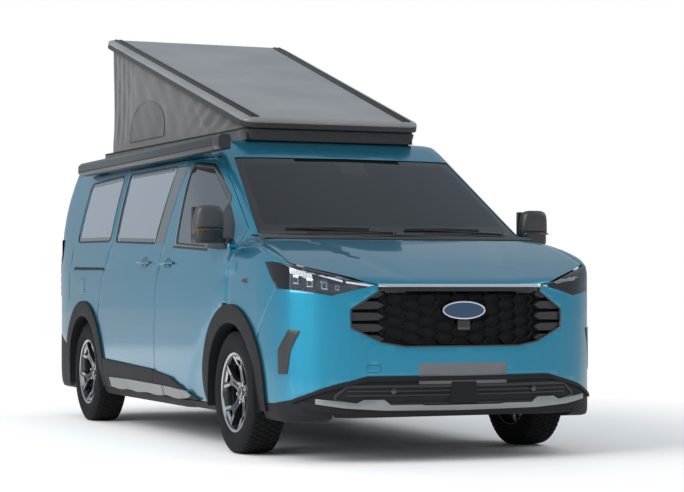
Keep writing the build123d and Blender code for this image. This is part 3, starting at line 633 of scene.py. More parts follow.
def rampOf(tree, value, low, high, start=0.35, end=0.65):
    node = addNode(tree, "ShaderNodeValToRGB", {"Fac": value})
    node.color_ramp.elements[0].position = start
    node.color_ramp.elements[1].position = end
    node.color_ramp.elements[0].color = (*low, 1)
    node.color_ramp.elements[1].color = (*high, 1)
    return node.outputs["Color"]


def bumpOf(tree, height, strength, distance=0.001):
    return addNode(tree, "ShaderNodeBump",
                   {"Strength": strength, "Distance": distance, "Height": height}).outputs["Normal"]


def mathOf(tree, operation, *values):
    node = tree.nodes.new("ShaderNodeMath")
    node.operation = operation
    return put(tree, node, dict(enumerate(values))).outputs[0]


def mixOf(tree, share, first, second):
    return addNode(tree, "ShaderNodeMixShader", {0: share, 1: first, 2: second}).outputs[0]


def shaded(shade, colour):
    return tuple(min(1, c * shade) for c in colour)


def clouded(tree, at, colour, scale, dark, light):
    # a colour that drifts a little over the piece
    return rampOf(tree, noiseOf(tree, at, scale, 2), shaded(dark, colour), shaded(light, colour))


def grained(name, colour, rough, metallic=0.0, grain=300.0, depth=0.0004, strength=0.25, spread=0.12,
            coat=0.0, stretch=None, specular=0.5):
    # a plain finish with fine grain, slight colour change and uneven gloss
    mat, tree, shader, at = newMaterial(name)
    broad = noiseOf(tree, at, 2.3, 4)
    base = rampOf(tree, broad, shaded(1 - spread, colour), shaded(1 + spread, colour))
    gloss = mathOf(tree, "MULTIPLY_ADD", broad, 0.14, rough - 0.07)
    put(tree, shader, {"Base Color": base, "Roughness": gloss, "Metallic": metallic, "Coat Weight": coat,
                       "Specular IOR Level": specular})
    if depth:
        put(tree, shader, {"Normal": bumpOf(tree, noiseOf(tree, at, grain, 2, stretch), strength, depth)})
    return mat


def carPaint(name, colour, deep, rough):
    # metallic paint: flakes under a clear coat with a trace of orange peel
    mat, tree, shader, at = newMaterial(name)
    flakes = addNode(tree, "ShaderNodeTexVoronoi", {"Scale": finish["paintFlakes"], "Vector": at})
    spark = addNode(tree, "ShaderNodeSeparateColor", {"Color": flakes.outputs["Color"]})
    facing = addNode(tree, "ShaderNodeLayerWeight", {"Blend": 0.42})
    base = rampOf(tree, facing.outputs["Facing"], colour, deep, 0.0, 0.85)
    mix = tree.nodes.new("ShaderNodeMix")
    mix.data_type = "RGBA"
    mix.blend_type = "MULTIPLY"
    glints = rampOf(tree, spark.outputs["Red"], (0.72, 0.76, 0.8), (1, 1, 1), 0.0, 1.0)
    put(tree, mix, {"Factor": 0.30, "A": base, "B": glints})
    peel = bumpOf(tree, noiseOf(tree, at, 160, 1), 0.012, finish["orangePeel"])
    put(tree, shader, {"Base Color": mix.outputs["Result"], "Metallic": finish["paintMetallic"],
                       "Roughness": rough, "Coat Weight": finish["coat"],
                       "Coat Roughness": finish["coatRough"], "Coat Normal": peel})
    return mat


def printedEdge(tree, at, edges, extra):
    # 1 where a pane carries its black print: within a width of its edge lines, or in a block at the top
    apart = addNode(tree, "ShaderNodeSeparateXYZ", {0: at})
    across = mathOf(tree, "ABSOLUTE", apart.outputs[0])
    mask = None
    for (x0, z0), (x1, z1), width in edges:
        size = math.hypot(x1 - x0, z1 - z0)
        nx, nz = -(z1 - z0) / size, (x1 - x0) / size
        d = mathOf(tree, "ADD", mathOf(tree, "MULTIPLY", across, nx),
                   mathOf(tree, "MULTIPLY", apart.outputs[2], nz))
        near = mathOf(tree, "LESS_THAN", mathOf(tree, "SUBTRACT", d, nx * x0 + nz * z0), width)
        mask = near if mask is None else mathOf(tree, "MAXIMUM", mask, near)
    half, low = extra
    above = mathOf(tree, "GREATER_THAN", apart.outputs[2], low)
    block = mathOf(tree, "MULTIPLY", mathOf(tree, "LESS_THAN", across, half), above)
    return mathOf(tree, "MAXIMUM", mask, block)


def paneGlass(name, tint, mirror=0.08, edges=(), extra=(0.085, 1.618)):
    # thin tinted pane: lets light straight through, reflects at its face
    mat, tree, shader, at = newMaterial(name)
    clear = addNode(tree, "ShaderNodeBsdfTransparent", {"Color": clouded(tree, at, tint, 1.2, 0.95, 1.05)})
    gloss = addNode(tree, "ShaderNodeBsdfGlossy", {"Roughness": 0.015, "Color": (0.90, 0.90, 0.94, 1)})
    fresnel = addNode(tree, "ShaderNodeFresnel", {"IOR": 1.55})
    amount = mathOf(tree, "MINIMUM", mathOf(tree, "ADD", fresnel.outputs["Fac"], mirror), 1.0)
    last = mixOf(tree, amount, clear.outputs[0], gloss.outputs[0])
    if edges:
        put(tree, shader, {"Base Color": (*finish["printBlack"], 1), "Roughness": 0.12})
        last = mixOf(tree, printedEdge(tree, at, edges, extra), last, shader.outputs[0])
    put(tree, tree.nodes["Material Output"], {"Surface": last})
    return mat


def wovenCloth(name, colour, pitch=900.0, depth=0.0006, rough=0.9):
    # crossed threads, a little uneven
    mat, tree, shader, at = newMaterial(name)
    parts = addNode(tree, "ShaderNodeSeparateXYZ", {0: at})
    along = mathOf(tree, "ADD", parts.outputs["X"], parts.outputs["Y"])
    warp = mathOf(tree, "SINE", mathOf(tree, "MULTIPLY", along, pitch))
    weft = mathOf(tree, "SINE", mathOf(tree, "MULTIPLY", parts.outputs["Z"], pitch))
    slub = noiseOf(tree, at, 40, 4)
    height = mathOf(tree, "MULTIPLY_ADD", mathOf(tree, "MULTIPLY", warp, weft), 0.4, slub)
    base = rampOf(tree, slub, shaded(0.8, colour), shaded(1.15, colour), 0.3, 0.7)
    put(tree, shader, {"Base Color": base, "Roughness": rough, "Sheen Weight": 0.25,
                       "Normal": bumpOf(tree, height, 0.35, depth)})
    return mat


def glowing(name, colour, strength, rough=0.2):
    mat, tree, shader, at = newMaterial(name)
    put(tree, shader, {"Base Color": clouded(tree, at, colour, 30, 0.9, 1.0), "Emission Color": (*colour, 1),
                       "Emission Strength": strength, "Roughness": rough})
    return mat


def prismLens(name, colour, pitch=260.0, cover=0.15):
    # lamp lens with fine ribs
    mat, tree, shader, at = newMaterial(name)
    parts = addNode(tree, "ShaderNodeSeparateXYZ", {0: at})
    ribs = mathOf(tree, "SINE", mathOf(tree, "MULTIPLY", parts.outputs["Z"], pitch))
    put(tree, shader, {"Base Color": clouded(tree, at, colour, 9, 0.9, 1.1), "Transmission Weight": 1 - cover,
                       "Roughness": 0.08, "Normal": bumpOf(tree, ribs, 0.3)})
    return mat


paint = carPaint("paint", finish["paintColour"], finish["paintDeep"], finish["paintRough"])
trim = grained("texturedTrim", (0.010, 0.0105, 0.011), 0.60, grain=900, depth=0.0005, strength=0.5)
glossBlack = grained("glossBlack", (0.006, 0.006, 0.007), 0.10, grain=300, depth=0.0, coat=1.0)
satinBlack = grained("satinBlack", (0.014, 0.014, 0.015), 0.36, grain=500, depth=0.0002)
chrome = grained("brightChrome", (0.78, 0.79, 0.80), 0.09, metallic=1.0, grain=200, depth=0.0, spread=0.03)
silver = grained("satinSilver", finish["silver"], 0.38, metallic=0.85, grain=500, depth=0.0001, spread=0.05)
machined = grained("machinedAlloy", (0.50, 0.51, 0.52), 0.28, metallic=1.0, grain=260, depth=0.0002,
                   spread=0.06)
rimBlack = grained("rimBlack", (0.012, 0.012, 0.013), 0.16, grain=300, depth=0.0, coat=0.8)
screenEdges = [((0.827, 1.244), (0.708, 1.722), 0.045), ((0.708, 1.722), (0.0, 1.736), 0.040),
               ((0.0, 1.234), (0.827, 1.244), 0.055)]
frontGlass = paneGlass("windscreenGlass", (0.50, 0.54, 0.56), 0.0, screenEdges)
sideGlass = paneGlass("sideGlass", finish["glassTint"], 0.20)
privacyGlass = paneGlass("privacyGlass", finish["privacyTint"], 0.52)
blackBorder = grained("printedBorder", (0.006, 0.006, 0.007), 0.07, grain=300, depth=0.0, coat=1.0)
sealRubber = grained("sealRubber", (0.011, 0.011, 0.012), 0.7, grain=600, depth=0.0003)
roofGrey = grained("roofGrey", finish["roofGrey"], 0.45, grain=700, depth=0.0003, coat=0.25)
canvasCloth = wovenCloth("canvasCloth", finish["canvasGrey"])
canvasBand = wovenCloth("canvasBand", shaded(0.35, finish["canvasGrey"]), 700)
awningMetal = grained("anodisedAwning", finish["awningGrey"], 0.36, metallic=0.7, grain=400, depth=0.0002,
                      stretch=(30, 1, 30), spread=0.05)
rubber = grained("tyreRubber", (0.006, 0.006, 0.0065), 0.78, grain=420, depth=0.0005, strength=0.3,
                 spread=0.2)
brakeSteel = grained("brakeSteel", (0.42, 0.42, 0.43), 0.34, metallic=1.0, grain=160, depth=0.0002,
                     stretch=(1, 9, 9))
castIron = grained("castIron", (0.10, 0.10, 0.105), 0.6, metallic=0.6, grain=160, depth=0.001, strength=0.5,
                   spread=0.2)
underSteel = grained("underbodyCoat", (0.030, 0.031, 0.032), 0.7, grain=240, depth=0.0008, strength=0.5,
                     spread=0.2)
innerPanel = grained("innerPanel", (0.20, 0.205, 0.21), 0.6, grain=380, depth=0.0004, spread=0.06)
dashPlastic = grained("dashPlastic", (0.030, 0.031, 0.033), 0.55, grain=700, depth=0.0006, strength=0.4)
softGrey = grained("softGrey", (0.16, 0.165, 0.17), 0.6, grain=500, depth=0.0004)
seatCloth = wovenCloth("seatCloth", (0.060, 0.064, 0.070), 1300, 0.0006)
seatPanel = wovenCloth("seatPanel", (0.115, 0.122, 0.130), 1000, 0.0008)
laminate = grained("cabinetLaminate", (0.34, 0.33, 0.31), 0.42, grain=90, depth=0.0001, stretch=(1, 1, 14),
                   spread=0.10)
floorVinyl = grained("floorVinyl", (0.10, 0.085, 0.07), 0.5, grain=60, depth=0.0002, stretch=(14, 1, 1),
                     spread=0.18)
lampInner = grained("lampBezel", (0.020, 0.021, 0.023), 0.24, grain=300, depth=0.0, coat=0.6)
reflector = grained("lampReflector", (0.72, 0.73, 0.75), 0.12, metallic=1.0, grain=120, depth=0.0)
ledWhite = glowing("ledStrip", (0.86, 0.90, 0.95), 0.75)
redLens = prismLens("redLens", (0.48, 0.010, 0.012))
redDark = grained("redReflector", (0.22, 0.006, 0.008), 0.25, grain=60, depth=0.0008, coat=1.0)
amberLens = prismLens("amberLens", (0.75, 0.24, 0.02))
plateFace = grained("plateFace", (0.12, 0.125, 0.135), 0.7, grain=300, depth=0.0001, spread=0.04)
mirrorFace = grained("mirrorFace", (0.80, 0.82, 0.84), 0.03, metallic=1.0, grain=100, depth=0.0, spread=0.01)
for material in (trim, rubber):
    material.node_tree.nodes["Principled BSDF"].inputs["Specular IOR Level"].default_value = 0.18
# near-black for seams and gaps, and also painted shade: the sheets behind the grille comb and in the lower
# intake stand for the shade inside those openings
grooveAndShade = grained("grooveBlack", (0.004, 0.004, 0.004), 0.8, grain=300, depth=0.0)
print("materials", len(bpy.data.materials), "made")


copyInputs = {"Piece": "Object", "Finish": "Material", "Count": "Int", "Rows": "Int", "Step": "Vector",
              "Row Step": "Vector", "Centre": "Vector", "Axis": "Vector"}


def copiesTree(kind):
    # a node tree that lays one piece out in rows, in a staggered comb or in a ring
    tree = bpy.data.node_groups.new("copies" + kind.title(), "GeometryNodeTree")
    face = tree.interface
    for way in ("OUTPUT", "INPUT"):
        face.new_socket(name="Geometry", in_out=way, socket_type="NodeSocketGeometry")
    ids = {}
    for label, socket in copyInputs.items():
        ids[label] = face.new_socket(name=label, in_out="INPUT", socket_type="NodeSocket" + socket).identifier
    given = tree.nodes.new("NodeGroupInput").outputs
    index = tree.nodes.new("GeometryNodeInputIndex").outputs[0]
    line = addNode(tree, "GeometryNodeMeshLine", {"Offset": (0, 0, 0)})
    if kind == "ring":
        put(tree, line, {"Count": given["Count"], "Start Location": given["Centre"]})
        angle = mathOf(tree, "MULTIPLY", mathOf(tree, "DIVIDE", index, given["Count"]), 2 * math.pi)
        turn = addNode(tree, "FunctionNodeAxisAngleToRotation", {"Axis": given["Axis"], "Angle": angle})
        places = {"Points": line.outputs["Mesh"], "Rotation": turn.outputs["Rotation"]}
    else:
        put(tree, line, {"Count": mathOf(tree, "MULTIPLY", given["Count"], given["Rows"])})
        row = mathOf(tree, "FLOOR", mathOf(tree, "DIVIDE", index, given["Count"]))
        column = mathOf(tree, "SUBTRACT", index, mathOf(tree, "MULTIPLY", row, given["Count"]))
        shift = mathOf(tree, "MULTIPLY", mathOf(tree, "MODULO", row, 2.0), 0.5 if kind == "comb" else 0.0)
        place = given["Centre"]
        for step, amount in (("Step", mathOf(tree, "ADD", column, shift)), ("Row Step", row)):
            scale = tree.nodes.new("ShaderNodeVectorMath")
            scale.operation = "SCALE"
            put(tree, scale, {0: given[step], "Scale": amount})
            place = addNode(tree, "ShaderNodeVectorMath", {0: place, 1: scale.outputs[0]}).outputs[0]
        move = addNode(tree, "GeometryNodeSetPosition", {"Geometry": line.outputs["Mesh"], "Position": place})
        places = {"Points": move.outputs["Geometry"]}
    piece = addNode(tree, "GeometryNodeObjectInfo", {"Object": given["Piece"]}).outputs["Geometry"]
    scatter = addNode(tree, "GeometryNodeInstanceOnPoints", {"Instance": piece, **places})
    real = addNode(tree, "GeometryNodeRealizeInstances", {"Geometry": scatter.outputs["Instances"]})
    dressed = {"Geometry": real.outputs["Geometry"], "Material": given["Finish"]}
    last = addNode(tree, "GeometryNodeSetMaterial", dressed)
    addNode(tree, "NodeGroupOutput", {"Geometry": last.outputs["Geometry"]})
    return tree, ids


copyTrees = {}


def copies(name, piece, kind, material, count, rows=1, step=(0, 0, 0), rowStep=(0, 0, 0), centre=(0, 0, 0),
           axis=(1, 0, 0), angle=35):
    # many of one piece in a row, comb or ring, as one plain mesh; the piece itself is removed
    if kind not in copyTrees:
        copyTrees[kind] = copiesTree(kind)
    tree, ids = copyTrees[kind]
    host = meshObject(name, [(0, 0, 0), (0.001, 0, 0), (0, 0.001, 0)], [(0, 1, 2)], material, smooth=False)
    mod = host.modifiers.new("copies", "NODES")
    mod.node_group = tree
    values = {"Piece": piece, "Finish": material, "Count": count, "Rows": rows, "Step": step,
              "Row Step": rowStep, "Centre": centre, "Axis": axis}
    for label, value in values.items():
        mod[ids[label]] = value
    applyModifiers(host)
    host.data.name = name
    bpy.data.objects.remove(piece)
    return settle(host, None, angle)


def paintInner(obj, first=0, second=1, depth=0.03, outer=None):
    # the faces that look into the cabin take the second finish
    mesh = obj.data
    count = len(mesh.polygons)
    centres, normals = np.zeros(count * 3), np.zeros(count * 3)
    mesh.polygons.foreach_get("center", centres)
    mesh.polygons.foreach_get("normal", normals)
    centres, normals = centres.reshape(-1, 3), normals.reshape(-1, 3)
    level = bodyDepth(centres)
    out = gradient(bodyDepth, centres)
    facing = (normals * out).sum(axis=1)
    index = np.where((level < -depth) & ((facing < 0.3) | (level < -depth * 1.6)), second,
                     first).astype(np.int32)
    if outer is not None:
        index[((level > 0.003) & (centres[:, 2] < 0.47)) | (centres[:, 2] < 0.262)] = outer
    mesh.polygons.foreach_set("material_index", index)


# painted panels
for side in ("left", "right"):
    for node, step in (("body_side_", 0.05), ("front_door_", 0.04), ("sliding_door_", 0.045)):
        paintInner(shapedPanel(node + side, [paint, innerPanel, trim], step), depth=0.03, outer=2)
paintInner(shapedPanel("roof_panel", [paint, innerPanel], 0.06))
paintInner(shapedPanel("bonnet", [paint, satinBlack], 0.04))
paintInner(shapedPanel("front_fenders", [paint, satinBlack], 0.035))
bumper = shapedPanel("front_bumper", [paint, satinBlack], 0.035)
paintInner(bumper)
heldBehind(bumper, 0.29, 0.40, 0.55, -2.508)
shapedPanel("front_bumper_lower", trim, 0.035)
tailgate = shapedPanel("tailgate", [paint, innerPanel], 0.045)
paintInner(tailgate)
heldBehind(tailgate, 0.36, 0.65, 0.87, 2.506)
paintInner(shapedPanel("rear_bumper", [trim, satinBlack], 0.045))
shapedPanel("body_cladding", trim, 0.04, edge=0.004)
print("panels shaped")

# glass
shapedPanel("windscreen", frontGlass, 0.06, edge=0)
shapedPanel("side_glass", privacyGlass, 0.08, edge=0)
shapedPanel("tailgate_glass", privacyGlass, 0.06, edge=0)
for side in ("left", "right"):
    shapedPanel("front_door_glass_" + side, sideGlass, 0.06, edge=0)
print("glass shaped")

# wrapping round the nose: u runs along the plan outline from the middle of the front, v is height
wrapHalf = np.array(smoothLine(form["planOutline"], 0.01))
wrapLength = np.concatenate([[0], np.cumsum(np.linalg.norm(np.diff(wrapHalf, axis=0), axis=1))])


def uOfX(x):
    rows = wrapHalf[:, 1] < -1.9
    xs, us = wrapHalf[rows, 0], wrapLength[rows]
    order = np.argsort(xs)
    return math.copysign(float(np.interp(abs(x), xs[order], us[order])), x)


def uOfY(y):
    rows = wrapHalf[:, 0] > 0.8
    return float(np.interp(y, wrapHalf[rows, 1], wrapLength[rows]))


def nosePoints(points):
    # an outline of the front in x and height, given in u and height
    return [(uOfX(x), z) for x, z in points]


def acrossNose(points):
    # an outline given from the middle to the left, closed over the other side
    half = nosePoints(points)
    return half + [(-u, z) for u, z in reversed(half[1:-1])]


def outlineAt(length):
    return np.interp(length, wrapLength, wrapHalf[:, 0]), np.interp(length, wrapLength, wrapHalf[:, 1])


def wrapPoint(u):
    # places on the plan outline and the directions that point out of it there
    a, reach = np.abs(u), 0.03
    x, y = outlineAt(a)
    (x1, y1), (x0, y0) = outlineAt(a + reach), outlineAt(np.maximum(a - reach, 0))
    tx, ty = x1 - x0, y1 - y0
    size = np.sqrt(tx ** 2 + ty ** 2)
    nx, ny = ty / size, -tx / size
    sign = np.where(u < 0, -1.0, 1.0)
    return np.stack([x * sign, y], axis=1), np.stack([nx * sign, ny], axis=1)


def wrapped(flat, level):
    # (u, v) pairs carried onto the body at a given depth
    a = np.array(flat, float)
    place, normal = wrapPoint(a[:, 0])
    level = np.asarray(level, float) + np.zeros(len(a))

    def at(t):
        p = np.zeros((len(a), 3))
        p[:, 0] = place[:, 0] + normal[:, 0] * (0.05 - t)
        p[:, 1] = place[:, 1] + normal[:, 1] * (0.05 - t)
        p[:, 2] = a[:, 1]
        return p

    return at(firstInside(at, level, 0.6))


def wrapPatch(name, outer, outerLevel, innerLevel, material, holes=(), step=0.03, edge=0.0, both=False):
    # like surfacePatch, on (u, v); both makes the other side's as well
    flat, faces = outlineTriangles(outer, holes, step)
    verts = [*wrapped(flat, outerLevel), *wrapped(flat, innerLevel)]
    obj = meshObject(name, verts, slabFaces(faces, len(flat)), material, smooth=False)
    if edge:
        obj = addBevel(obj, edge, 2, 50)
    if both:
        obj = joined(name, [obj, mirrorCopy(obj, name + "Other")])
    return settle(obj, "body", 32)


def bentOnto(obj, push=0.0):
    # a flat piece drawn with x along u, z up and y as depth behind the surface, carried onto the nose
    mesh = obj.data
    count = len(mesh.vertices)
    co = np.zeros(count * 3)
    mesh.vertices.foreach_get("co", co)
    co = co.reshape(-1, 3)
    out = wrapped(co[:, [0, 2]], -(co[:, 1] + push))
    mesh.vertices.foreach_set("co", out.reshape(-1))
    mesh.update()
    return obj


# grille
grille = {"cellHigh": 0.060, "cellWide": 0.097, "point": 0.0625, "flat": 0.0345, "wall": 0.0042,
          "columns": 11, "rows": 7, "low": 0.630, "high": 0.925, "badgeHeight": 0.813, "badgeHalf": 0.128,
          "badgeHigh": 0.049}


def hexCell():
    # one cell of the comb: a six-sided tube, x across, y into the grille
    def ring(shrink):
        h = grille["cellHigh"] / 2 - shrink
        p, f = grille["point"] - shrink * 1.2, grille["flat"] - shrink * 0.5
        return [(p, 0), (f, h), (-f, h), (-p, 0), (-f, -h), (f, -h)]

    rings = [(ring(0.0002), 0.030), (ring(0.0002), 0.004), (ring(grille["wall"] * 0.45), 0.0),
             (ring(grille["wall"]), 0.006), (ring(grille["wall"] * 1.3), 0.030)]
    verts = [(x, d, z) for loop, d in rings for x, z in loop]
    faces = []
    for r in range(5):
        s = (r + 1) % 5
        for i in range(6):
            j = (i + 1) % 6
            faces.append((r * 6 + i, r * 6 + j, s * 6 + j, s * 6 + i))
    return meshObject("hexCell", verts, faces, satinBlack, smooth=False)


grilleLoop = [(0.487, 0.949), (0.487, 0.917), (0.634, 0.820), (0.634, 0.717), (0.466, 0.637), (0.340, 0.615)]
grilleLoop = nosePoints(mirroredLoop(grilleLoop))


def makeComb():
    comb = copies("grilleComb", hexCell(), "comb", satinBlack, grille["rows"], grille["columns"],
                  step=(0, 0, grille["cellHigh"]), rowStep=(grille["cellWide"], 0, 0),
                  centre=(-grille["cellWide"] * 5, 0, 0.600))
    bm = bmesh.new()
    bm.from_mesh(comb.data)
    bm.verts.ensure_lookup_table()
    dropped = []
    for start in range(0, len(bm.verts), 30):
        cell = bm.verts[start:start + 30]
        x = sum(v.co.x for v in cell) / 30
        z = sum(v.co.z for v in cell) / 30
        limit = np.interp(z, [0.63, 0.69, 0.74, 0.88, 0.93], [0.30, 0.42, 0.45, 0.45, 0.40])
        if z < grille["low"] or z > grille["high"] or abs(x) > limit:
            dropped += cell
    bmesh.ops.delete(bm, geom=dropped, context="VERTS")
    bmesh.ops.remove_doubles(bm, verts=bm.verts, dist=1e-6)
    refine(bm, 0.045, "x")
    bm.to_mesh(comb.data)
    bm.free()
    bentOnto(comb, 0.012)
    settle(comb, "body", 30, ["grille"])
    # a near-black sheet behind the comb: painted shade for the dark space behind the grille
    wrapPatch("grilleBack", offsetLoop(grilleLoop, -0.004), -0.045, -0.052, grooveAndShade, step=0.05)
    wrapPatch("grilleFrame", offsetLoop(grilleLoop, -0.0005), 0.001, -0.050, glossBlack,
              holes=[offsetLoop(grilleLoop, -0.010)], step=0.04, edge=0.0015)


def makeWings():
    # the pointed ribs beside the comb, trimmed to the grille's slanting edges
    ribs = []
    for side in (1, -1):
        front = [(0.455, 0.0), (0.490, 0.019), (0.64, 0.022), (0.64, -0.022), (0.490, -0.019)]
        back = [(0.455, 0.0), (0.478, 0.029), (0.64, 0.029), (0.64, -0.029), (0.478, -0.029)]
        verts = [(x, 0.010, z) for x, z in front] + [(x, 0.042, z) for x, z in back]
        faces = [(0, 1, 2, 3, 4), (9, 8, 7, 6, 5)]
        faces += [(i, i + 5, (i + 1) % 5 + 5, (i + 1) % 5) for i in range(5)]
        rib = meshObject("wingRib", verts, faces, satinBlack, smooth=False)
        row = copies("grilleWing", rib, "row", satinBlack, 5, 1, step=(0, 0, grille["cellHigh"]),
                     centre=(0, 0, 0.660))
        if side < 0:
            mirrorMesh(row.data)
        ribs.append(row)
    wing = joined("grilleWings", ribs)
    bm = bmesh.new()
    bm.from_mesh(wing.data)
    refine(bm, 0.05, "x")
    for side in (1, -1):
        for (xa, za), (xb, zb) in (((0.487, 0.922), (0.634, 0.826)), ((0.634, 0.711), (0.466, 0.630))):
            along = Vector((xb - xa, 0, zb - za)).normalized()
            out = Vector((-along.z, 0, along.x))
            if out.x < 0:
                out = -out
            out.x *= side
            geom = bm.verts[:] + bm.edges[:] + bm.faces[:]
            place = (uOfX(xa) * side, 0, za)
            cut = bmesh.ops.bisect_plane(bm, geom=geom, plane_co=place, plane_no=out, dist=1e-6,
                                         clear_outer=True)
            rim = [e for e in cut["geom_cut"] if isinstance(e, bmesh.types.BMEdge)]
            bmesh.ops.holes_fill(bm, edges=rim, sides=0)
    bmesh.ops.recalc_face_normals(bm, faces=bm.faces)
    bm.to_mesh(wing.data)
    bm.free()
    settle(bentOnto(wing), "body", 25)


def makeBadge():
    # the blank badge and the bars above the comb
    for sign, name in ((1, "Left"), (-1, "Right")):
        tab = [(sign * 0.33, 0.905), (sign * 0.355, 0.938), (sign * 0.47, 0.938), (sign * 0.445, 0.905)]
        wrapPatch("grilleTab" + name, tab, -0.010, -0.04, satinBlack, step=0.05, edge=0.002)
    header = [(-0.478, 0.914), (0.478, 0.914), (0.478, 0.937), (-0.478, 0.937)]
    wrapPatch("grilleHeader", header, -0.002, -0.035, satinBlack, step=0.04, edge=0.002)
    bar = [(-0.487, 0.9375), (0.487, 0.9375), (0.492, 0.9535), (-0.492, 0.9535)]
    wrapPatch("chromeBar", bar, 0.006, -0.012, chrome, step=0.03, edge=0.003)
    oval = ellipse(0, grille["badgeHeight"], grille["badgeHalf"], grille["badgeHigh"], 72)
    field = ellipse(0, grille["badgeHeight"], grille["badgeHalf"] - 0.009, grille["badgeHigh"] - 0.008, 72)
    wrapPatch("badgeRing", oval, 0.004, -0.030, chrome, holes=[field], step=0.02, edge=0.002)
    wrapPatch("badgeFace", offsetLoop(field, 0.001), 0.002, -0.02, badgeBlue, step=0.03)
    radar = rounded([(-0.038, 0.708), (0.038, 0.708), (0.038, 0.758), (-0.038, 0.758)], 0.006)
    wrapPatch("radarCover", radar, -0.004, -0.04, glossBlack, step=0.03, edge=0.002)


badgeBlue = grained("badgeBlue", (0.012, 0.035, 0.095), 0.18, grain=200, depth=0.0, coat=1.0)
makeComb()
makeWings()
makeBadge()


# lower bumper; the plate is blank
bumperSet = {"slats": {"slatMiddle": 0.362, "slatUpper": 0.385}, "slatHalf": 0.66, "sensors": (-0.405, 0.43),
             "sensorRadius": 0.016, "plateHalf": 0.262, "plateLow": 0.419, "plateHigh": 0.531}


def makeLowerBumper():
    wide = bumperSet["slatHalf"]
    corners = [(-0.647, 0.405), (0.647, 0.405), (0.715, 0.345), (0.60, 0.318), (-0.60, 0.318),
               (-0.715, 0.345)]
    intake = nosePoints(rounded(corners, 0.012))
    # a near-black sheet across the intake behind its slats: painted shade for the hollow
    wrapPatch("intakeHollow", intake, 0.0006, -0.004, grooveAndShade, step=0.05)
    frame = offsetLoop(intake, 0.014)
    wrapPatch("intakeFrame", frame, 0.006, -0.01, satinBlack, [offsetLoop(intake, -0.002)], step=0.05,
              edge=0.003)
    for name, z in bumperSet["slats"].items():
        slat = [(-wide, z - 0.004), (wide, z - 0.004), (wide, z + 0.004), (-wide, z + 0.004)]
        wrapPatch(name, slat, 0.005, -0.01, satinBlack, step=0.05, edge=0.001)
    pillar = [(-0.085, 0.306), (0.085, 0.306), (0.072, 0.43), (-0.072, 0.43)]
    wrapPatch("intakePillar", pillar, 0.010, -0.01, trim, step=0.05, edge=0.003)
    rise = [(0.0, 0.306), (0.22, 0.306), (0.25, 0.311), (0.42, 0.311), (0.455, 0.340), (0.565, 0.340),
            (0.60, 0.322), (0.66, 0.330), (0.80, 0.345), (0.80, 0.318), (0.66, 0.296), (0.45, 0.282),
            (0.0, 0.276)]
    wrapPatch("skidPlate", acrossNose(rise), 0.016, -0.01, silver, step=0.04, edge=0.005)
    lip = [(0.0, 0.279), (0.45, 0.285), (0.66, 0.299), (0.80, 0.320), (0.86, 0.33), (0.86, 0.285),
           (0.66, 0.262), (0.45, 0.252), (0.0, 0.250)]
    wrapPatch("bumperLip", acrossNose(lip), 0.008, -0.02, trim, step=0.04, edge=0.004)
    radius = bumperSet["sensorRadius"]
    for x in bumperSet["sensors"]:
        eye = ellipse(uOfX(x), bumperSet["slats"]["slatUpper"], radius, radius, 24)
        name = "intakeSensor" + ("Left" if x > 0 else "Right")
        wrapPatch(name, eye, 0.012, -0.005, glossBlack, step=0.02, edge=0.002)
    upper = [(0.0, 0.462), (0.539, 0.462), (0.757, 0.405), (0.90, 0.335), (0.90, 0.318), (0.757, 0.383),
             (0.539, 0.437), (0.0, 0.437)]
    wrapPatch("bumperBrow", acrossNose(upper), 0.012, -0.01, trim, step=0.04, edge=0.005)
    for name in ("bumperBrow", "front_bumper_lowerPanel"):
        heldBehind(bpy.data.objects[name], 0.270, 0.408, 0.540, -2.504)
    half, low, high = bumperSet["plateHalf"], bumperSet["plateLow"], bumperSet["plateHigh"]
    plate = [(-half, low), (half, low), (half, high), (-half, high)]
    wrapPatch("plateHolder", rounded(offsetLoop(plate, 0.006), 0.006), -0.0015, -0.010, satinBlack, step=0.05,
              edge=0.001)
    wrapPatch("plateFace", rounded(plate, 0.008), 0.0012, -0.006, plateFace, step=0.05, edge=0.001)
    cover = rounded(nosePoints([(-0.545, 0.486), (-0.472, 0.486), (-0.472, 0.523), (-0.545, 0.523)]), 0.012)
    wrapPatch("towCoverSeam", offsetLoop(cover, 0.0022), 0.0004, -0.012, grooveAndShade, holes=[cover], step=0.02)
    wrapPatch("towCover", cover, 0.0006, -0.012, paint, step=0.02, edge=0.0012)
    slot = [(0.866, 0.706), (0.912, 0.712), (0.945, 0.60), (0.944, 0.47), (0.918, 0.472), (0.905, 0.60)]
    slot = rounded(nosePoints(slot), 0.010)
    wrapPatch("airSlot", slot, 0.0035, -0.02, satinBlack, step=0.025, edge=0.003, both=True)


makeLowerBumper()
print("front made")

# headlamps
lamps = {
    "strips": [((0.497, 0.940), (0.655, 0.962)), ((0.672, 0.966), (0.795, 1.004)),
               ((0.808, 1.009), (0.905, 1.046))],
    "stripHalf": 0.0052,
    "wall": 0.003,
    # x, height and radius of each reflector cup
    "cups": ((0.700, 0.932, 0.012), (0.765, 0.943, 0.018), (0.832, 0.958, 0.020), (0.893, 0.975, 0.020)),
}


